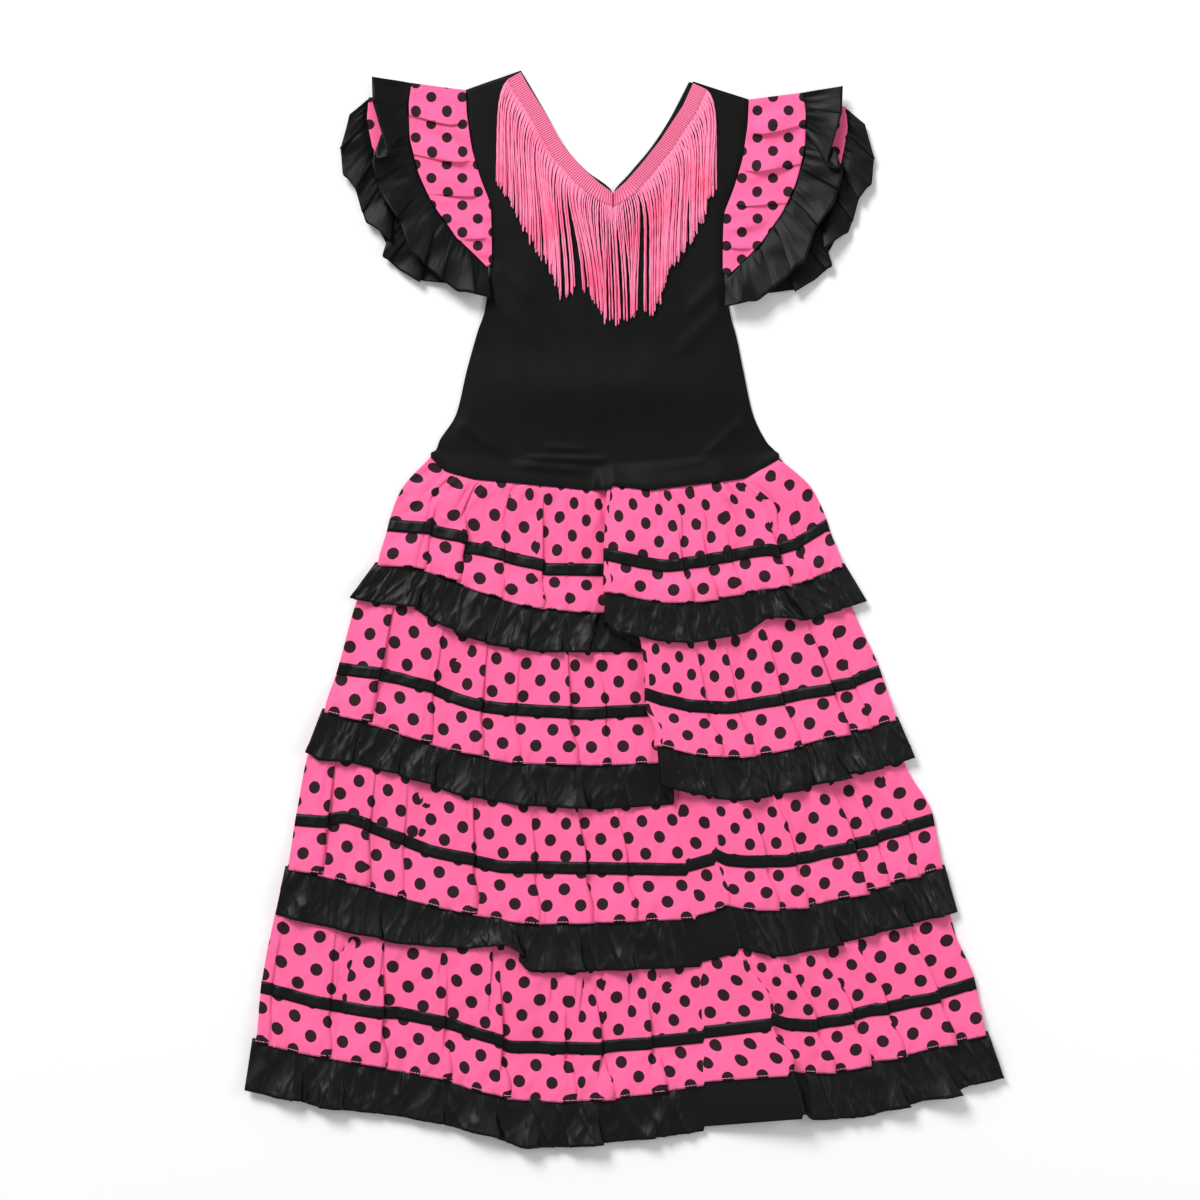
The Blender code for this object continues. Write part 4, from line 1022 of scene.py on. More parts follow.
def back_row(line, shift, level, inset=0.0):
    """One row across the skirt back, a shallow bow between its two ends."""
    (x0, y0), (x1, y1), middle = BACK_LINES[line]
    row = []
    for i in range(BACK_COLUMNS + 1):
        share = i / BACK_COLUMNS
        bow = 4.0 * share * (1.0 - share)
        down = y0 + (y1 - y0) * share + (middle - 0.5 * (y0 + y1)) * bow
        x, y = place(x0 + inset + (x1 - x0 - 2.0 * inset) * share, down)
        row.append((x, y + shift, level))
    return row


def plain_rows(first, last, count, height, seed):
    """Rows between two, with soft ripples that only lower the cloth from its level."""
    lengths = run_length(last)
    depth = math.dist(first[0], last[0])
    rows, flats = [], []
    for j in range(count + 1):
        share = j / count
        push = -height * np.clip(0.5 + 0.5 * ripple(lengths, share * depth, 0.012, 0.05, seed), 0.0, 1.0)
        row = [tuple(p + (q - p) * share for p, q in zip(a, b)) for a, b in zip(first, last)]
        rows.append([(x, y, z + m) for (x, y, z), m in zip(row, push)])
        flats.append([(a, -share * depth) for a in lengths])
    return rows, flats, (lengths[-1], depth)


BACKS = []
top = "waist"
for tier in range(4):
    number = tier + 1
    seam, free, line = f"seam_{number}", f"free_{number}", f"ribbon_{number}"
    level = LAYER + CLOTH + TIER_SLACK
    rows, flats, size = plain_rows(back_row(top, -SEAM_PART, level), back_row(seam, SEAM_PART, level),
                                   TIER_BACK_ROWS, TIER_SLACK, 70.0 + tier)
    back = fitted(f"skirt_tier_{number}_back", [(rows, flats)], TIER_CLOTH[tier], CLOTH,
                  f"tier_{number}_back")
    low = SATIN + RUFFLE_SLACK
    rows, flats, edge_size = plain_rows(back_row(seam, ROOT_HIDDEN, low), back_row(free, 0.0, low),
                                        RUFFLE_BACK_ROWS, RUFFLE_SLACK, 80.0 + tier)
    edge = fitted(f"ruffle_{number}_back_cloth", [(rows, flats)], SATIN_RUFFLE, SATIN,
                  f"ruffle_{number}_back")
    rows, flats, band_size = plain_rows(back_row(line, 0.0, WALL, RIBBON_INSET),
                                        back_row(line, -RIBBON_WIDTH, WALL), RIBBON_BACK_ROWS, 0.0, 90.0)
    band = fitted(f"ribbon_{number}_back_cloth", [(rows, flats)], SATIN_RIBBON, RIBBON,
                  f"ribbon_{number}_back")
    BACKS.append((back, size, edge, edge_size, band, band_size))
    top = seam
print("backs", len(BACKS))

# %% [markdown]
# The bodice is a fine stretch knit, cut as a front and a back with a deep V neck. The front swells
# a little where air is trapped under it and its lower edge steps over the top of the skirt's fold.
# Its creases are few: they gather at the waist seam and pull slightly from the underarms.

# %% Bodice
BODICE_SIDE = {
    "left": ((436, 450), (440, 440), (456, 415), (467, 370), (478, 331), (485, 310)),
    "right": ((774, 450), (768, 444), (753, 415), (743, 370), (736, 336), (731, 318)),
}
BODICE_CENTRE = ((607, 463), (607, 440), (607, 412), (608, 365), (609, 330), (610, 310))
BODICE_NECK = {
    "left": ((611, 250), (612, 222), (613, 195), (585, 170), (565, 147), (545, 112), (521, 71)),
    "right": ((611, 250), (612, 222), (613, 195), (633, 174), (654, 149), (672, 122), (693, 82)),
}
BODICE_BULGE = 0.0035
FRINGE_END = 336
BACK_NECK_INSET = {"left": 0.0, "right": 4.0}
WAIST_LAP = 0.0025
WAIST_CLEAR = 1.12
ARMHOLE = ((464, 91), (465, 115), (470, 150), (479, 180), (489, 205), (490, 235), (490, 264))
SLEEVE_MIRROR = 607.3
SLEEVE_DROP = 9.5
BODICE_COLUMNS = 90
EDGE_FLAT = 0.10

# Creases pressed into the bodice front, a row each: two ends on the plan grid, height and width in mm
BODICE_CREASES = (
    ((522, 465), (578, 470), 1.7, 2.4),
    ((535, 458), (598, 460), 1.8, 2.6),
    ((596, 459), (606, 461), 0.5, 2.6),
    ((609, 464), (613, 477), 0.4, 2.8),
    ((548, 447), (585, 450), 0.9, 2.8),
    ((640, 470), (700, 462), 0.9, 3.0),
    ((455, 420), (500, 452), 0.8, 4.0),
    ((745, 420), (705, 455), 0.8, 4.0),
    ((490, 262), (535, 300), 1.0, 5.0),
    ((728, 272), (690, 310), 1.0, 5.0),
    ((486, 295), (540, 345), 0.9, 6.0),
    ((730, 300), (680, 350), 0.9, 6.0),
    ((470, 350), (505, 385), 0.6, 5.0),
)


def bodice_height(x, y):
    """How far the bodice front stands above its edges."""
    centre = place(609, 0)[0]
    across = max(0.0, 1.0 - ((x - centre) / 0.105) ** 2)
    top_down = place(0, FRINGE_END)[1]
    low = place(0, 440)[1]
    down = smooth((top_down - y) / 0.05) * (1.0 - smooth((low + 0.05 - y) / 0.05))
    return BODICE_BULGE * across * down


def waist_height(x):
    """The height of the bodice's lower edge, which passes over the top of the first tier's fold."""
    _valley, ridge, _up, _over, lift = FOLD["waist"]
    across = x / GRID + PLAN_CENTRE[0]
    fall_at = FOLD["waist"][0] + 16.0
    step = smooth((across - ridge + 16.0) / 11.0) * (1.0 - smooth((across - fall_at) / 115.0))
    return FRONT + LAYER + WAIST_CLEAR * 0.001 * lift * step


def crease_height(x, y):
    """The height that pressed creases add at a place, in metres."""
    total = 0.0
    for start, end, height, width in BODICE_CREASES:
        ax, ay = place(*start)
        bx, by = place(*end)
        length = math.hypot(bx - ax, by - ay)
        along_it = ((x - ax) * (bx - ax) + (y - ay) * (by - ay)) / length
        off = ((x - ax) * (by - ay) - (y - ay) * (bx - ax)) / length
        share = along_it / length
        if -0.3 < share < 1.3:
            fade = smooth((share + 0.3) / 0.5) * smooth((1.3 - share) / 0.5)
            total += 0.001 * height * fade * math.exp(-(off / (0.001 * width)) ** 2)
    return total


def sleeve_place(point, side):
    """A left sleeve plan point on its own side, in metres."""
    across, down = point
    if side == "right":
        across = 2.0 * SLEEVE_MIRROR - across
        down += SLEEVE_DROP
    return place(across, down)


def bodice_half(side, base, inset, is_front, columns):
    """Named rows of half a bodice from the shoulder down to the waist, left to right."""
    outer_end = {"left": 431, "right": 779}[side]
    rows = []
    for reach in (1.0, 0.0):
        row = []
        for i in range(columns + 1):
            across = outer_end + (BODICE_CENTRE[0][0] - outer_end) * i / columns
            x, y = place(across, depth_at("waist", 1 if across > 612 else 0, across))
            y += WAIST_LAP - HEM_OVERLAP * reach
            row.append((x, y, waist_height(x) if is_front else base))
        rows.append(row)
    sections = [(place(*a), place(*b)) for a, b in zip(BODICE_SIDE[side], BODICE_CENTRE)]
    for number, (spot, inner) in enumerate(zip(reversed(ARMHOLE), BODICE_NECK[side])):
        step = inset if number > 2 else 0.0
        sections.append((sleeve_place(spot, side), place(inner[0] - step, inner[1])))
    for outer, inner in sections:
        row = []
        for i in range(columns + 1):
            x, y = (a + (b - a) * i / columns for a, b in zip(outer, inner))
            row.append((x, y, base))
        rows.append(row)
    rows.reverse()
    return rows if side == "left" else [row[::-1] for row in rows]


BODICE_STEPS = (10, 10, 9, 9, 9, 10, 15, 8, 12, 16, 11, 10, 9, 4)

# The back is flat and mostly hidden, so it has fewer columns and rows
BACK_BODICE_COLUMNS = 30
BACK_BODICE_STEPS = (4, 4, 4, 4, 4, 4, 5, 3, 4, 6, 4, 4, 4, 2)


def bodice_patch(side, base, inset, is_front):
    """Fine rows of half a bodice and their flat coordinates."""
    columns, counts = BODICE_COLUMNS, BODICE_STEPS
    if not is_front:
        columns, counts = BACK_BODICE_COLUMNS, BACK_BODICE_STEPS
    named = bodice_half(side, base, inset, is_front, columns)
    stations = [0.0]
    for count in BODICE_STEPS:
        stations.append(stations[-1] + 0.002 * count)
    filled, _spots = fill_rows(named, stations, counts)
    rows, flats = [], []
    for row in filled:
        line, flat = [], []
        for number, (x, y, z) in enumerate(row):
            from_side = number if side == "left" else len(row) - 1 - number
            if is_front:
                soft = 0.0007 * noise.noise((x / 0.030, y / 0.045, 5.0)) + 0.0004
                soft += 0.0006 * noise.noise(((x + 0.4 * y) / 0.016, (y - 0.4 * x) / 0.060, 9.0))
                inland = smooth(from_side / columns / EDGE_FLAT)
                z = z + bodice_height(x, y) + (crease_height(x, y) + soft) * inland
            line.append((x, y, z))
            flat.append((x, y))
        rows.append(line)
        flats.append(flat)
    return rows, flats


BODICE_SIZE = (0.280, 0.322)
front = [bodice_patch(side, LAYER + KNIT, 0.0, True) for side in ("left", "right")]
bodice_front = fitted("bodice_front_knit", front, KNIT_CLOTH, KNIT, "bodice_front")
back = [bodice_patch(side, KNIT, BACK_NECK_INSET[side], False) for side in ("left", "right")]
bodice_back = fitted("bodice_back_knit", back, KNIT_CLOTH, KNIT, "bodice_back")
print("bodice points", len(bodice_front.data.vertices), len(bodice_back.data.vertices))

# %% [markdown]
# A flutter sleeve is two short flared panels of dotted cloth, one over the other, with a waved satin
# ruffle on each edge. The upper one ends nearer the shoulder. The panels are gathered into the
# armhole, so their small folds fan out from it. Both sleeves come from the same tables, mirrored.

# %% Sleeves
UPPER_SEAM = ((412, 84), (409, 105), (410, 140), (419, 175), (433, 205), (457, 238), (487, 267))
UPPER_FREE = ((373, 80), (374, 105), (383, 135), (373, 165), (381, 195), (400, 222), (408, 245),
              (427, 268), (455, 291), (491, 299))
LOWER_SEAM = ((369, 98), (367, 120), (372, 145), (379, 178), (391, 205), (425, 250), (458, 272))
LOWER_FREE = ((350, 116), (341, 150), (343, 172), (356, 190), (361, 208), (366, 222), (388, 238),
              (383, 256), (399, 270), (415, 280), (448, 284))
SLEEVE_WAVES = 6
SLEEVE_PART = 1.0
SLEEVE_LAP = 2.0
BACK_STEP = 3.5
PANEL_ROWS = 110
RUFFLE_COLUMNS = 280

# Creases of the sleeve ruffles: share of the free edge, height in mm, run and lean as shares
UPPER_CREASES = ((0.08, 1.5, 0.06, 0.01), (0.205, 6.5, 0.16, 0.095), (0.36, 2.5, 0.07, 0.02),
                 (0.50, 4.0, 0.09, 0.035), (0.66, 6.5, 0.12, 0.070), (0.78, 3.0, 0.07, 0.03),
                 (0.90, 5.0, 0.08, 0.045))
LOWER_CREASES = ((0.12, 3.0, 0.09, 0.03), (0.30, 5.0, 0.12, 0.05), (0.42, 2.5, 0.07, 0.02),
                 (0.56, 5.5, 0.12, 0.07), (0.70, 2.5, 0.08, 0.02), (0.84, 4.0, 0.10, 0.05))
PANEL_CREASES = ((0.21, 2.4, 0.10, 0.030), (0.395, 2.8, 0.11, 0.032), (0.60, 2.0, 0.13, 0.020),
                 (0.84, 1.6, 0.08, 0.014))
CREASE_DROP = 0.018
ROOT_TUCK = 1.2
HEM_LIFT = 0.0008


def curve_points(curve, count, softness=3):
    """Points evenly along a curve, its corners softened, in plan grid squares."""
    points = np.array(curve, dtype=float)
    steps = np.concatenate(([0.0], np.cumsum(np.linalg.norm(np.diff(points, axis=0), axis=1))))
    fine = np.linspace(0.0, steps[-1], count + 1)
    xs = np.interp(fine, steps, points[:, 0])
    ys = np.interp(fine, steps, points[:, 1])
    for _ in range(softness * count // 60):
        xs[1:-1] = 0.25 * xs[:-2] + 0.5 * xs[1:-1] + 0.25 * xs[2:]
        ys[1:-1] = 0.25 * ys[:-2] + 0.5 * ys[1:-1] + 0.25 * ys[2:]
    return np.stack((xs, ys), axis=1)


def paired_points(curve, count):
    """Points along a curve with the same number between each two of its own, corners softened."""
    points = np.array(curve, dtype=float)
    own = np.linspace(0.0, count, len(points))
    fine = np.arange(count + 1)
    xs, ys = np.interp(fine, own, points[:, 0]), np.interp(fine, own, points[:, 1])
    for _ in range(14):
        xs[1:-1] = 0.25 * xs[:-2] + 0.5 * xs[1:-1] + 0.25 * xs[2:]
        ys[1:-1] = 0.25 * ys[:-2] + 0.5 * ys[1:-1] + 0.25 * ys[2:]
    return np.stack((xs, ys), axis=1)


def beside(curve, step):
    """A sleeve curve moved across by a step."""
    return tuple((across + step, down) for across, down in curve)


def turned(rows, flats, side):
    """Rows put the right way up for their side, so that the cloth's outside faces up."""
    if side == "left":
        return [row[::-1] for row in rows], [row[::-1] for row in flats]
    return rows, flats


def sleeve_panel(root, seam, level, side, height, seed, creases=(), hem_lift=0.0, columns=44):
    """A sleeve panel from its armhole to its ruffle, with folds fanning out of the armhole."""
    start, end = paired_points(root, PANEL_ROWS), paired_points(seam, PANEL_ROWS)
    lengths = GRID * np.concatenate(([0.0], np.cumsum(np.linalg.norm(np.diff(end, axis=0), axis=1))))
    rows, flats = [], []
    widest = 0.0
    for j in range(PANEL_ROWS + 1):
        row, flat = [], []
        reach = GRID * float(np.linalg.norm(end[j] - start[j]))
        best, aside = sleeve_crease(creases, j / PANEL_ROWS)
        tangent = start[min(j + 1, PANEL_ROWS)] - start[max(j - 1, 0)]
        tangent = tangent / float(np.linalg.norm(tangent))
        for i in range(columns + 1):
            share = i / columns
            spot = start[j] + (end[j] - start[j]) * share
            grown = smooth(share * 3.0) * (1.0 - 0.55 * smooth((share - 0.45) / 0.55))
            spot = spot + tangent * (aside * grown * lengths[-1] / GRID)
            fold = ripple([lengths[j] + 0.25 * share * reach], share * reach, 0.0130, 0.040, seed)[0]
            small = ripple([lengths[j]], share * reach, 0.0045, 0.030, seed + 5.0)[0]
            up = height * (0.6 + 0.7 * fold) * math.sin(math.pi * (0.15 + 0.7 * share))
            up += 0.0004 * (0.5 + 0.5 * small) * (1.0 - share)
            up = max(up, 0.0) + 0.001 * best * grown + hem_lift * smooth((share - 0.86) / 0.10)
            x, y = sleeve_place(spot, side)
            row.append((x, y, level + up))
            unturned = sleeve_place(start[j] + (end[j] - start[j]) * share, side)
            flat.append((unturned[0], unturned[1] - 0.001 * best * grown))
            widest = max(widest, reach)
        rows.append(row)
        flats.append(flat)
    rows, flats = turned(rows, flats, side)
    return rows, flats, (widest, lengths[-1])


def sleeve_crease(creases, share):
    """The height in mm and the lean along the edge of the crease at a share of it."""
    best, aside = 0.0, 0.0
    for at, height, run, over in creases:
        reach = run if share < at else CREASE_DROP
        part = smooth(1.0 - abs(share - at) / reach)
        if height * part > best:
            best = height * part
            aside = over * part ** 1.5
    return best, aside


def sleeve_ruffle(seam, free, level, rise, side, creases, seed, rows_count=14):
    """A waving ruffle from just inside its seam to its free edge."""
    start, end = curve_points(seam, RUFFLE_COLUMNS), curve_points(free, RUFFLE_COLUMNS, 1)
    lengths = GRID * np.concatenate(([0.0], np.cumsum(np.linalg.norm(np.diff(end, axis=0), axis=1)))) * 1.35
    rows, flats = [], []
    for j in range(RUFFLE_COLUMNS + 1):
        share_along = j / RUFFLE_COLUMNS
        angle = 2.0 * math.pi * SLEEVE_WAVES * share_along + seed
        angle += 0.9 * math.sin(2.0 * math.pi * 2.3 * share_along + seed)
        wave = 0.5 - 0.5 * math.cos(angle)
        swell = 0.6 + 0.4 * math.sin(9.0 * share_along + seed)
        best, aside = sleeve_crease(creases, share_along)
        row, flat = [], []
        reach = GRID * float(np.linalg.norm(end[j] - start[j]))
        tangent = end[min(j + 1, RUFFLE_COLUMNS)] - end[max(j - 1, 0)]
        tangent = tangent / max(float(np.linalg.norm(tangent)), 1e-6)
        sway = 1.2 * math.sin(angle + 0.5) + aside * lengths[-1] / GRID / 1.35
        for i in range(rows_count + 1):
            share = i / rows_count
            spot = start[j] + (end[j] - start[j]) * share + tangent * (sway * share ** 1.2)
            small = ripple([lengths[j]], share * reach, 0.0060, 0.03, seed)[0]
            broad = ripple([lengths[j] + 0.5 * share * reach], share * reach, 0.0200, 0.03, seed + 9.0)[0]
            up = 0.001 * (rise[0] + (rise[1] - rise[0]) * wave * swell + best) * share ** 1.2
            up += 0.0011 * (0.5 + 0.5 * small) * smooth(share * 5.0) * (1.0 - share) ** 2
            up += 0.0022 * (0.5 + 0.5 * broad) * smooth(share * 3.0)
            x, y = sleeve_place(spot, side)
            row.append((x, y, level + up))
            flat.append((lengths[j], -share * reach))
        rows.append(row)
        flats.append(flat)
    rows, flats = turned(rows, flats, side)
    return rows, flats, (lengths[-1], 0.028)


SLEEVES = []
for side in ("left", "right"):
    seed = 101.0 if side == "left" else 151.0
    root = beside(ARMHOLE, -SLEEVE_PART)
    back_seam = beside(LOWER_SEAM, BACK_STEP)
    free = tuple(map(tuple, curve_points(LOWER_FREE, len(back_seam) - 1, 0)))
    upper_level = FRONT + 0.5 * LAYER
    parts = (
        ("back", SLEEVE_CLOTH, CLOTH, "pink_cloth",
         sleeve_panel(root, back_seam, CLOTH, side, 0.0002, seed)),
        ("back_ruffle", SATIN_SLEEVE, SATIN, "black_satin",
         sleeve_panel(beside(back_seam, -SLEEVE_PART), beside(free, 2.0 * BACK_STEP), SATIN, side,
                      0.0003, seed + 1)),
        ("lower", SLEEVE_CLOTH, CLOTH, "pink_cloth",
         sleeve_panel(root, LOWER_SEAM, LAYER + CLOTH, side, 0.0004, seed + 2, (), HEM_LIFT)),
        ("lower_ruffle", SATIN_SLEEVE, SATIN, "black_satin",
         sleeve_ruffle(beside(LOWER_SEAM, ROOT_TUCK), LOWER_FREE, LAYER + SATIN, (0.6, 3.0), side,
                       LOWER_CREASES, seed + 3)),
        ("upper", SLEEVE_CLOTH, CLOTH, "pink_cloth",
         sleeve_panel(beside(ARMHOLE, SLEEVE_LAP), UPPER_SEAM, upper_level + CLOTH, side, 0.0022, seed + 4,
                      PANEL_CREASES, HEM_LIFT)),
        ("upper_ruffle", SATIN_SLEEVE, SATIN, "black_satin",
         sleeve_ruffle(beside(UPPER_SEAM, ROOT_TUCK), UPPER_FREE, upper_level + SATIN, (6.5, 8.5), side,
                       UPPER_CREASES, seed + 5)),
    )
    for part, material, thickness, kind, (rows, flats, size) in parts:
        piece = fitted(f"sleeve_{side}_{part}_cloth", [(rows, flats)], material, thickness,
                       f"sleeve_{side}_{part}")
        SLEEVES.append((piece, size))
print("sleeve pieces", len(SLEEVES))

# %% [markdown]
# Fringe trims the neck. Its header is a braided band about 12 mm wide, with fine ridges across it,
# and its strands are two-ply yarns that leave the band square and then hang straight down. Each
# strand is a grid rolled into a twisted two-lobed tube. Instancing one strand would be lighter, but
# no two strands hang alike.

# %% Fringe
NECK_LEFT = ((521, 73), (528, 86), (545, 113), (565, 148), (585, 171), (600, 184), (612.6, 193))
TIPS_LEFT = ((496, 182), (512, 205), (520, 222), (530, 242), (540, 257), (548, 264), (555, 282),
             (563, 300), (577, 291), (588, 292), (597, 307), (607, 322), (618, 322))
NECK_RIGHT = ((693, 84), (683, 106), (660, 141), (641, 165), (626, 182), (613.4, 193))
TIPS_RIGHT = ((717, 190), (706, 202), (702, 222), (690, 242), (680, 257), (668, 272), (660, 298),
              (652, 314), (642, 312), (634, 317), (628, 321), (620, 322))

# Where the hanging strands part: a place across and how far they are pushed from it, in grid squares
PARTINGS = ((579, 2.4), (625, 1.0), (641, 3.0))
PARTING_REACH = 0.007
STRANDS = 100
YARN = 0.00062
BLUNT = 0.992
RIDGE_PITCH = 0.0017
FAN_START = 0.84


def along(curve, share):
    """The point at a share of a curve's length, and the way along it there."""
    points = np.array(curve, dtype=float)
    steps = np.concatenate(([0.0], np.cumsum(np.linalg.norm(np.diff(points, axis=0), axis=1))))
    here = share * steps[-1]
    return float(np.interp(here, steps, points[:, 0])), float(np.interp(here, steps, points[:, 1]))


def fringe_level(x, y):
    """The height just above the bodice front, where the fringe lies."""
    return LAYER + bodice_height(x, y) + WALL + GAP + 0.0001


def fringe_frame(neck, share, turn):
    """A point of the neck edge and the way square to it, over the bodice."""
    x, y = along(neck, share)
    ahead, behind = along(neck, min(share + 0.06, 1.0)), along(neck, max(share - 0.06, 0.0))
    run, drop = ahead[0] - behind[0], ahead[1] - behind[1]
    size = math.hypot(run, drop)
    fan = smooth((share - FAN_START) / (1.0 - FAN_START))
    way = (-turn * drop / size * (1.0 - fan), turn * run / size * (1.0 - fan) - fan)
    size = math.hypot(*way)
    return x, y, (way[0] / size, way[1] / size)


def fringe_material():
    """Soft twisted yarn in coral pink, its tone uneven from yarn to yarn, with broad bands of painted sheen
    and painted shade across the fringe.
    """
    material, tree, shader, flat = blank("coral_yarn")
    weave = placed(tree, WEAVE, flat, Across_Pitch=0.0006, Down_Pitch=0.0012, Slub=1.2)
    tone = tree.nodes.new("ShaderNodeTexNoise")
    tone.inputs["Scale"].default_value = 70.0
    tone.inputs["Detail"].default_value = 2.0
    tree.links.new(flat, tone.inputs["Vector"])
    # Broad lighter and darker bands by place over the whole fringe are painted sheen and painted shade, added
    # to the yarns' own tone
    spot = tree.nodes.new("ShaderNodeTexCoord")
    broad = tree.nodes.new("ShaderNodeTexNoise")
    broad.inputs["Scale"].default_value = 26.0
    broad.inputs["Detail"].default_value = 0.0
    tree.links.new(spot.outputs["Object"], broad.inputs["Vector"])
    tone_and_painted_bands = maths(tree, "ADD", tone.outputs["Fac"], maths(tree, "MULTIPLY", broad.outputs["Fac"], 1.4))
    uneven = maths(tree, "MULTIPLY", maths(tree, "SUBTRACT", tone_and_painted_bands, 1.12), 1.8)
    share = maths(tree, "MINIMUM", maths(tree, "MAXIMUM", uneven, 0.0), 1.0)
    colour = blend_colours(tree, share, CORAL, CORAL_DEEP_AND_SHADE)
    tree.links.new(colour, shader.inputs["Base Color"])
    shader.inputs["Roughness"].default_value = 0.5
    shader.inputs["Specular IOR Level"].default_value = 0.45
    bump(tree, shader, (weave.outputs["Height"], 0.25, 0.00010))
    return material


def band_material():
    """The braided band: yarn with deep narrow grooves across it at the ridge pitch."""
    material, tree, shader, flat = blank("coral_band")
    along_band, _across = split_flat(tree, flat)
    turn = maths(tree, "SINE", maths(tree, "MULTIPLY", along_band, math.pi / RIDGE_PITCH))
    groove = maths(tree, "POWER", maths(tree, "SUBTRACT", 1.0, maths(tree, "ABSOLUTE", turn)), 1.6)
    colour = blend_colours(tree, groove, CORAL, CORAL_SHADE)
    tree.links.new(colour, shader.inputs["Base Color"])
    shader.inputs["Roughness"].default_value = 0.5
    shader.inputs["Specular IOR Level"].default_value = 0.35
    bump(tree, shader, (maths(tree, "ABSOLUTE", turn), 0.8, 0.0008))
    return material


def yarn(shell, flat, where, path, radius, turns, phase, around=8):
    """A twisted two-lobed tube along a path of points, as one grid rolled up."""
    points = [Vector(p) for p in path]
    wide, high = around + 1, len(points)
    made = bmesh.ops.create_grid(shell, x_segments=around, y_segments=high - 1, size=1.0)
    for vert in made["verts"]:
        i = round((vert.co.x + 1.0) * 0.5 * (wide - 1))
        j = round((vert.co.y + 1.0) * 0.5 * (high - 1))
        ahead = (points[min(j + 1, high - 1)] - points[max(j - 1, 0)]).normalized()
        side_way = ahead.cross(Vector((0.0, 0.0, 1.0))).normalized()
        up_way = side_way.cross(ahead)
        angle = 2.0 * math.pi * i / around
        lobe = 1.0 + 0.22 * math.cos(2.0 * angle - 2.0 * math.pi * turns * j / (high - 1) + phase)
        tip = 0.0 if j in (0, high - 1) else 1.0
        size = radius * lobe * tip
        vert.co = points[j] + side_way * (size * math.cos(angle)) + up_way * (size * math.sin(angle))
        where[vert] = (i / around * 0.0035 + phase * 0.11, points[j].y)


def hang(root, way, tip, reach, wobble, step_count=26):
    """A strand's path: square out of the band, round a bend, then down to its tip."""
    bend = (root[0] + way[0] * reach, root[1] + way[1] * reach - 0.003)
    middle = (0.15 * root[0] + 0.85 * tip[0], 0.55 * root[1] + 0.45 * tip[1])
    knots = [root, bend, middle, tip]
    path = []
    for i in range(step_count + 1):
        t = min(i / (step_count - 1) * BLUNT, 1.0)
        a, b, c, d = (1 - t) ** 3, 3 * t * (1 - t) ** 2, 3 * t * t * (1 - t), t ** 3
        x = a * knots[0][0] + b * knots[1][0] + c * knots[2][0] + d * knots[3][0]
        y = a * knots[0][1] + b * knots[1][1] + c * knots[2][1] + d * knots[3][1]
        x += wobble[0] * smooth(t * 2.0) * math.sin(5.0 * t + wobble[1])
        z = fringe_level(x, y) + YARN * 1.3 + wobble[2] * smooth(t * 3.0)
        path.append((x, y, z))
    return path


def make_fringe(side, neck, tips, materials):
    """The band and strands of one side, as one piece."""
    turn = -1.0 if side == "left" else 1.0
    neck_m = [place(*spot) for spot in neck]
    tips_m = [place(*spot) for spot in tips]
    shell = bmesh.new()
    flat = shell.loops.layers.uv.new("UVMap")
    where = {}
    edge = math.dist(neck_m[0], neck_m[-1]) * 1.03
    ridges = round(edge / RIDGE_PITCH)
    steps, across_steps = ridges * 4, 9
    made = bmesh.ops.create_grid(shell, x_segments=steps, y_segments=2 * across_steps - 1, size=1.0)
    for vert in made["verts"]:
        i = round((vert.co.x + 1.0) * 0.5 * steps)
        j = round((vert.co.y + 1.0) * 0.5 * (2 * across_steps - 1))
        top = j < across_steps
        out = (j if top else 2 * across_steps - 1 - j) / (across_steps - 1)
        x, y, way = fringe_frame(neck_m, i / steps, turn)
        x, y = x + way[0] * STRIP_WIDTH * out, y + way[1] * STRIP_WIDTH * out
        ridge = abs(math.sin(math.pi * i / 4.0 + 0.25 * math.pi))
        rib = abs(math.sin(math.pi * 4.0 * out))
        z = fringe_level(x, y)
        if top:
            z += 0.0005 + 0.0009 * ridge * (0.6 + 0.4 * rib)
        vert.co = (x, y, z)
        where[vert] = (edge * i / steps, STRIP_WIDTH * out)
    bmesh.ops.remove_doubles(shell, verts=shell.verts, dist=1e-6)
    for face in shell.faces:
        face.material_index = 1
    for k in range(STRANDS):
        share = (k + 0.5) / STRANDS
        x, y, way = fringe_frame(neck_m, share, turn)
        root = (x + way[0] * (STRIP_WIDTH - 0.001), y + way[1] * (STRIP_WIDTH - 0.001))
        clump = share + 0.15 / STRANDS * math.sin(2.0 * math.pi * share * STRANDS / 4.3 + turn)
        tip_x, tip_y = along(tips_m, min(max(clump, 0.0), 1.0))
        jitter = [noise.noise((k * 0.73 + s, 4.0 * turn, 2.0)) for s in (0.0, 11.0, 23.0, 37.0)]
        clumped = 0.0030 * noise.noise((k * 0.31, 9.0 * turn, 1.0))
        for parting, wide in PARTINGS:
            off = tip_x - place(parting, 0.0)[0]
            tip_x += math.copysign(wide * GRID * math.exp(-(off / PARTING_REACH) ** 2), off)
        tip = (tip_x + 0.0026 * jitter[0] + clumped, tip_y + 0.0095 * jitter[1])
        reach = 0.0125 + 0.0013 * (k % 3) + 0.0040 * noise.noise((k * 0.83, 5.0, 3.0 * turn))
        path = hang(root, way, tip, reach, (0.0022 * jitter[2], 6.0 * jitter[3], 0.0009 * (k % 3)))
        yarn(shell, flat, where, path, YARN, 34.0, k * 1.7)
    bmesh.ops.recalc_face_normals(shell, faces=shell.faces)
    for face in shell.faces:
        face.smooth = True
        for loop in face.loops:
            loop[flat].uv = where.get(loop.vert, (0.0, 0.0))
    mesh = bpy.data.meshes.new(f"fringe_{side}_yarn")
    shell.to_mesh(mesh)
    shell.free()
    for material in materials:
        mesh.materials.append(material)
    piece = bpy.data.objects.new(f"fringe_{side}_yarn", mesh)
    bpy.context.scene.collection.objects.link(piece)
    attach(piece, "root")
    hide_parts(f"fringe_{side}")
    return piece


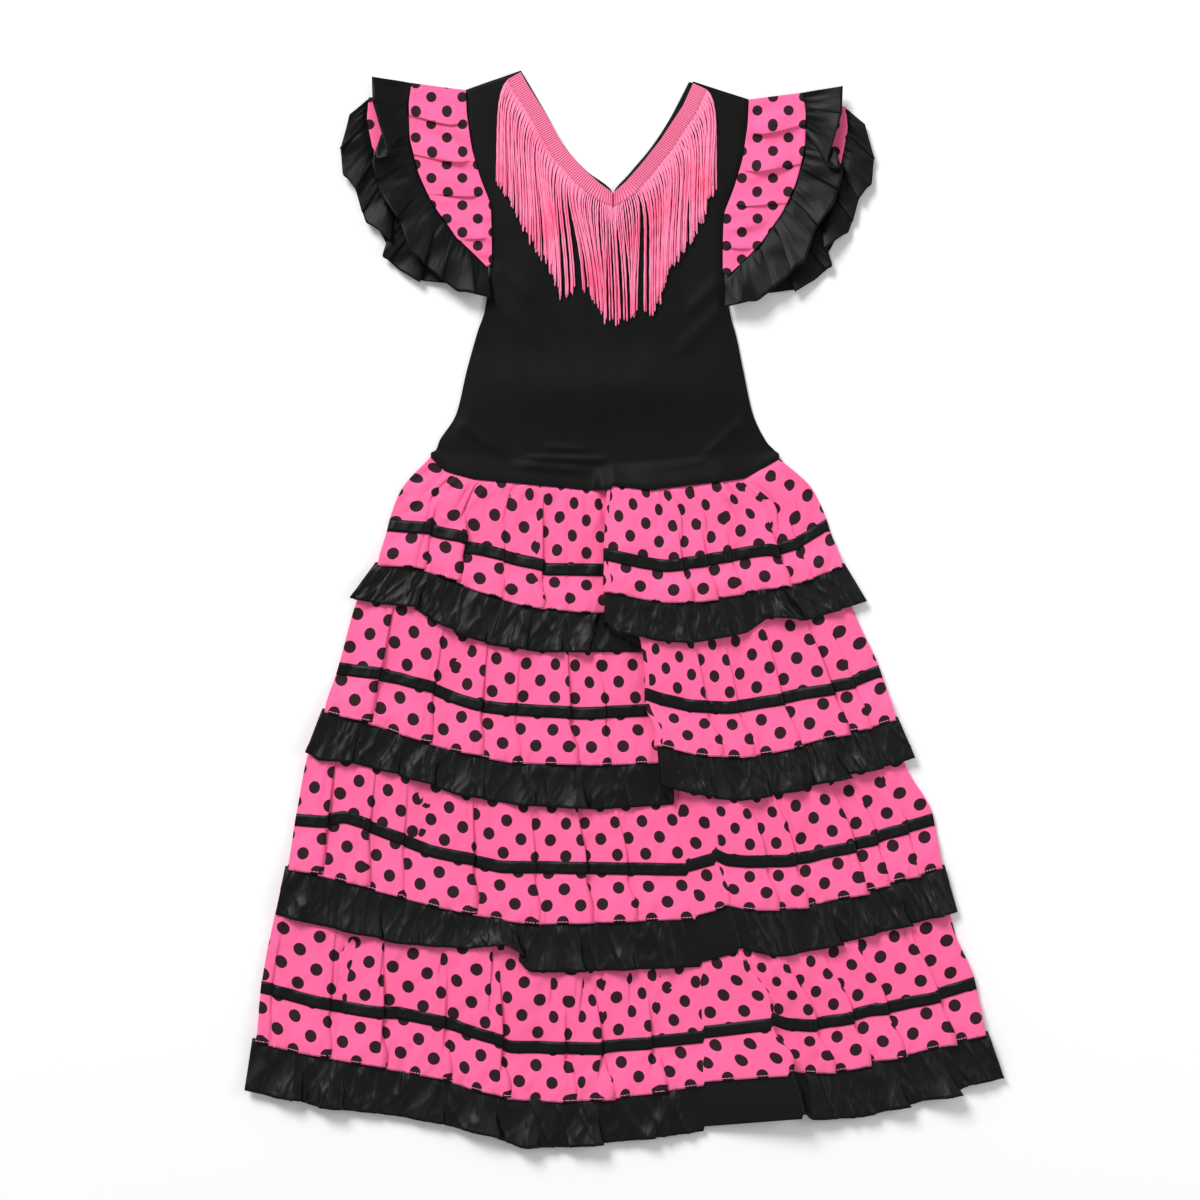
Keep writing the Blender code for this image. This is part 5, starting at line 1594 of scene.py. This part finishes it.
YARN_CLOTHS = (fringe_material(), band_material())
fringes = [make_fringe("left", NECK_LEFT, TIPS_LEFT, YARN_CLOTHS),
           make_fringe("right", NECK_RIGHT, TIPS_RIGHT, YARN_CLOTHS)]
print("fringe faces", [len(f.data.polygons) for f in fringes])

# %% [markdown]
# Every free sheet states the cut that shows of it: its width along the row, its depth down the
# cloth and its area, measured on the cloth itself, since placing it stretches nothing.


# %% Cloth facts
def cut_area(piece):
    """The area of one face of a cloth piece."""
    return sum(face.area for face in piece.data.polygons)


def state_cut(piece, size=None):
    """State the cut of what shows of a sheet."""
    area = cut_area(piece)
    width, length = size
    grow = max(area / (width * length), 1.0)
    width *= grow
    return round(width, 3), round(length, 4), round(area, 4)


for tier in range(4):
    number = tier + 1
    front, ribbon = SKIRT[tier]
    back, size, edge, edge_size, band, band_size = BACKS[tier]
    print(front.name, state_cut(front, TIER_SIZES[tier]))
    print(ribbon.name, state_cut(ribbon, (TIER_SIZES[tier][0], RIBBON_WIDTH)))
    piece, width, length = RUFFLES[tier]
    print(piece.name, state_cut(piece, (width, length)))
    print(back.name, state_cut(back, size))
    print(edge.name, state_cut(edge, edge_size))
    print(band.name, state_cut(band, band_size))
print(bodice_front.name, state_cut(bodice_front, BODICE_SIZE))
print(bodice_back.name, state_cut(bodice_back, BODICE_SIZE))
for piece, size in SLEEVES:
    print(piece.name, state_cut(piece, size))

# %% [markdown]
# The dress is shown on a plain white floor under very soft light, brighter from the top of the
# picture, so that every pleat has a light and a dark flank and the shadow under the hem is faint.


# %% Floor and light
def soft_light(name, where, aim, size, power, colour=(1.0, 1.0, 1.0)):
    """A large soft lamp aimed at a point."""
    lamp = bpy.data.lights.new(name, "AREA")
    lamp.shape = "SQUARE"
    lamp.size = size
    lamp.energy = power
    lamp.color = colour
    thing = bpy.data.objects.new(name, lamp)
    thing.location = where
    thing.rotation_euler = (Vector(aim) - Vector(where)).to_track_quat("-Z", "Y").to_euler()
    bpy.context.scene.collection.objects.link(thing)
    return thing


ground = bmesh.new()
bmesh.ops.create_grid(ground, x_segments=1, y_segments=1, size=3.0)
mesh = bpy.data.meshes.new("floor")
ground.to_mesh(mesh)
ground.free()
floor_material = bpy.data.materials.new("floor_white")
floor_material.use_nodes = True
floor_shader = floor_material.node_tree.nodes["Principled BSDF"]
floor_shader.inputs["Base Color"].default_value = (0.95, 0.95, 0.95, 1.0)
floor_shader.inputs["Roughness"].default_value = 1.0
floor_shader.inputs["Specular IOR Level"].default_value = 0.0
mesh.materials.append(floor_material)
floor = bpy.data.objects.new("floor", mesh)
floor.location = (0.0, 0.0, -0.0004)
bpy.context.scene.collection.objects.link(floor)

world = bpy.data.worlds.new("studio")
world.use_nodes = True
sky = world.node_tree.nodes["Background"]
sky.inputs["Color"].default_value = (1.0, 1.0, 1.0, 1.0)
sky.inputs["Strength"].default_value = 0.46
bpy.context.scene.world = world
key = soft_light("key", (-2.4, 4.0, 3.6), (0.0, 0.0, 0.0), 2.2, 330.0)
rim = soft_light("side", (1.8, 0.3, 1.3), (0.0, 0.0, 0.0), 0.8, 9.0)
print("lamps", key.name, rim.name)

# %% Camera and view transform
CAMERA_HEIGHT = 2.267
camera_data = bpy.data.cameras.new("camera")
camera_data.lens = 85.0
camera_data.sensor_width = 36.0
camera = bpy.data.objects.new("camera", camera_data)
camera.location = (*place(600, 600), CAMERA_HEIGHT)
camera.rotation_euler = (0.0, 0.0, 0.0)
bpy.context.scene.collection.objects.link(camera)
bpy.context.scene.camera = camera
bpy.context.scene.view_settings.view_transform = "Standard"
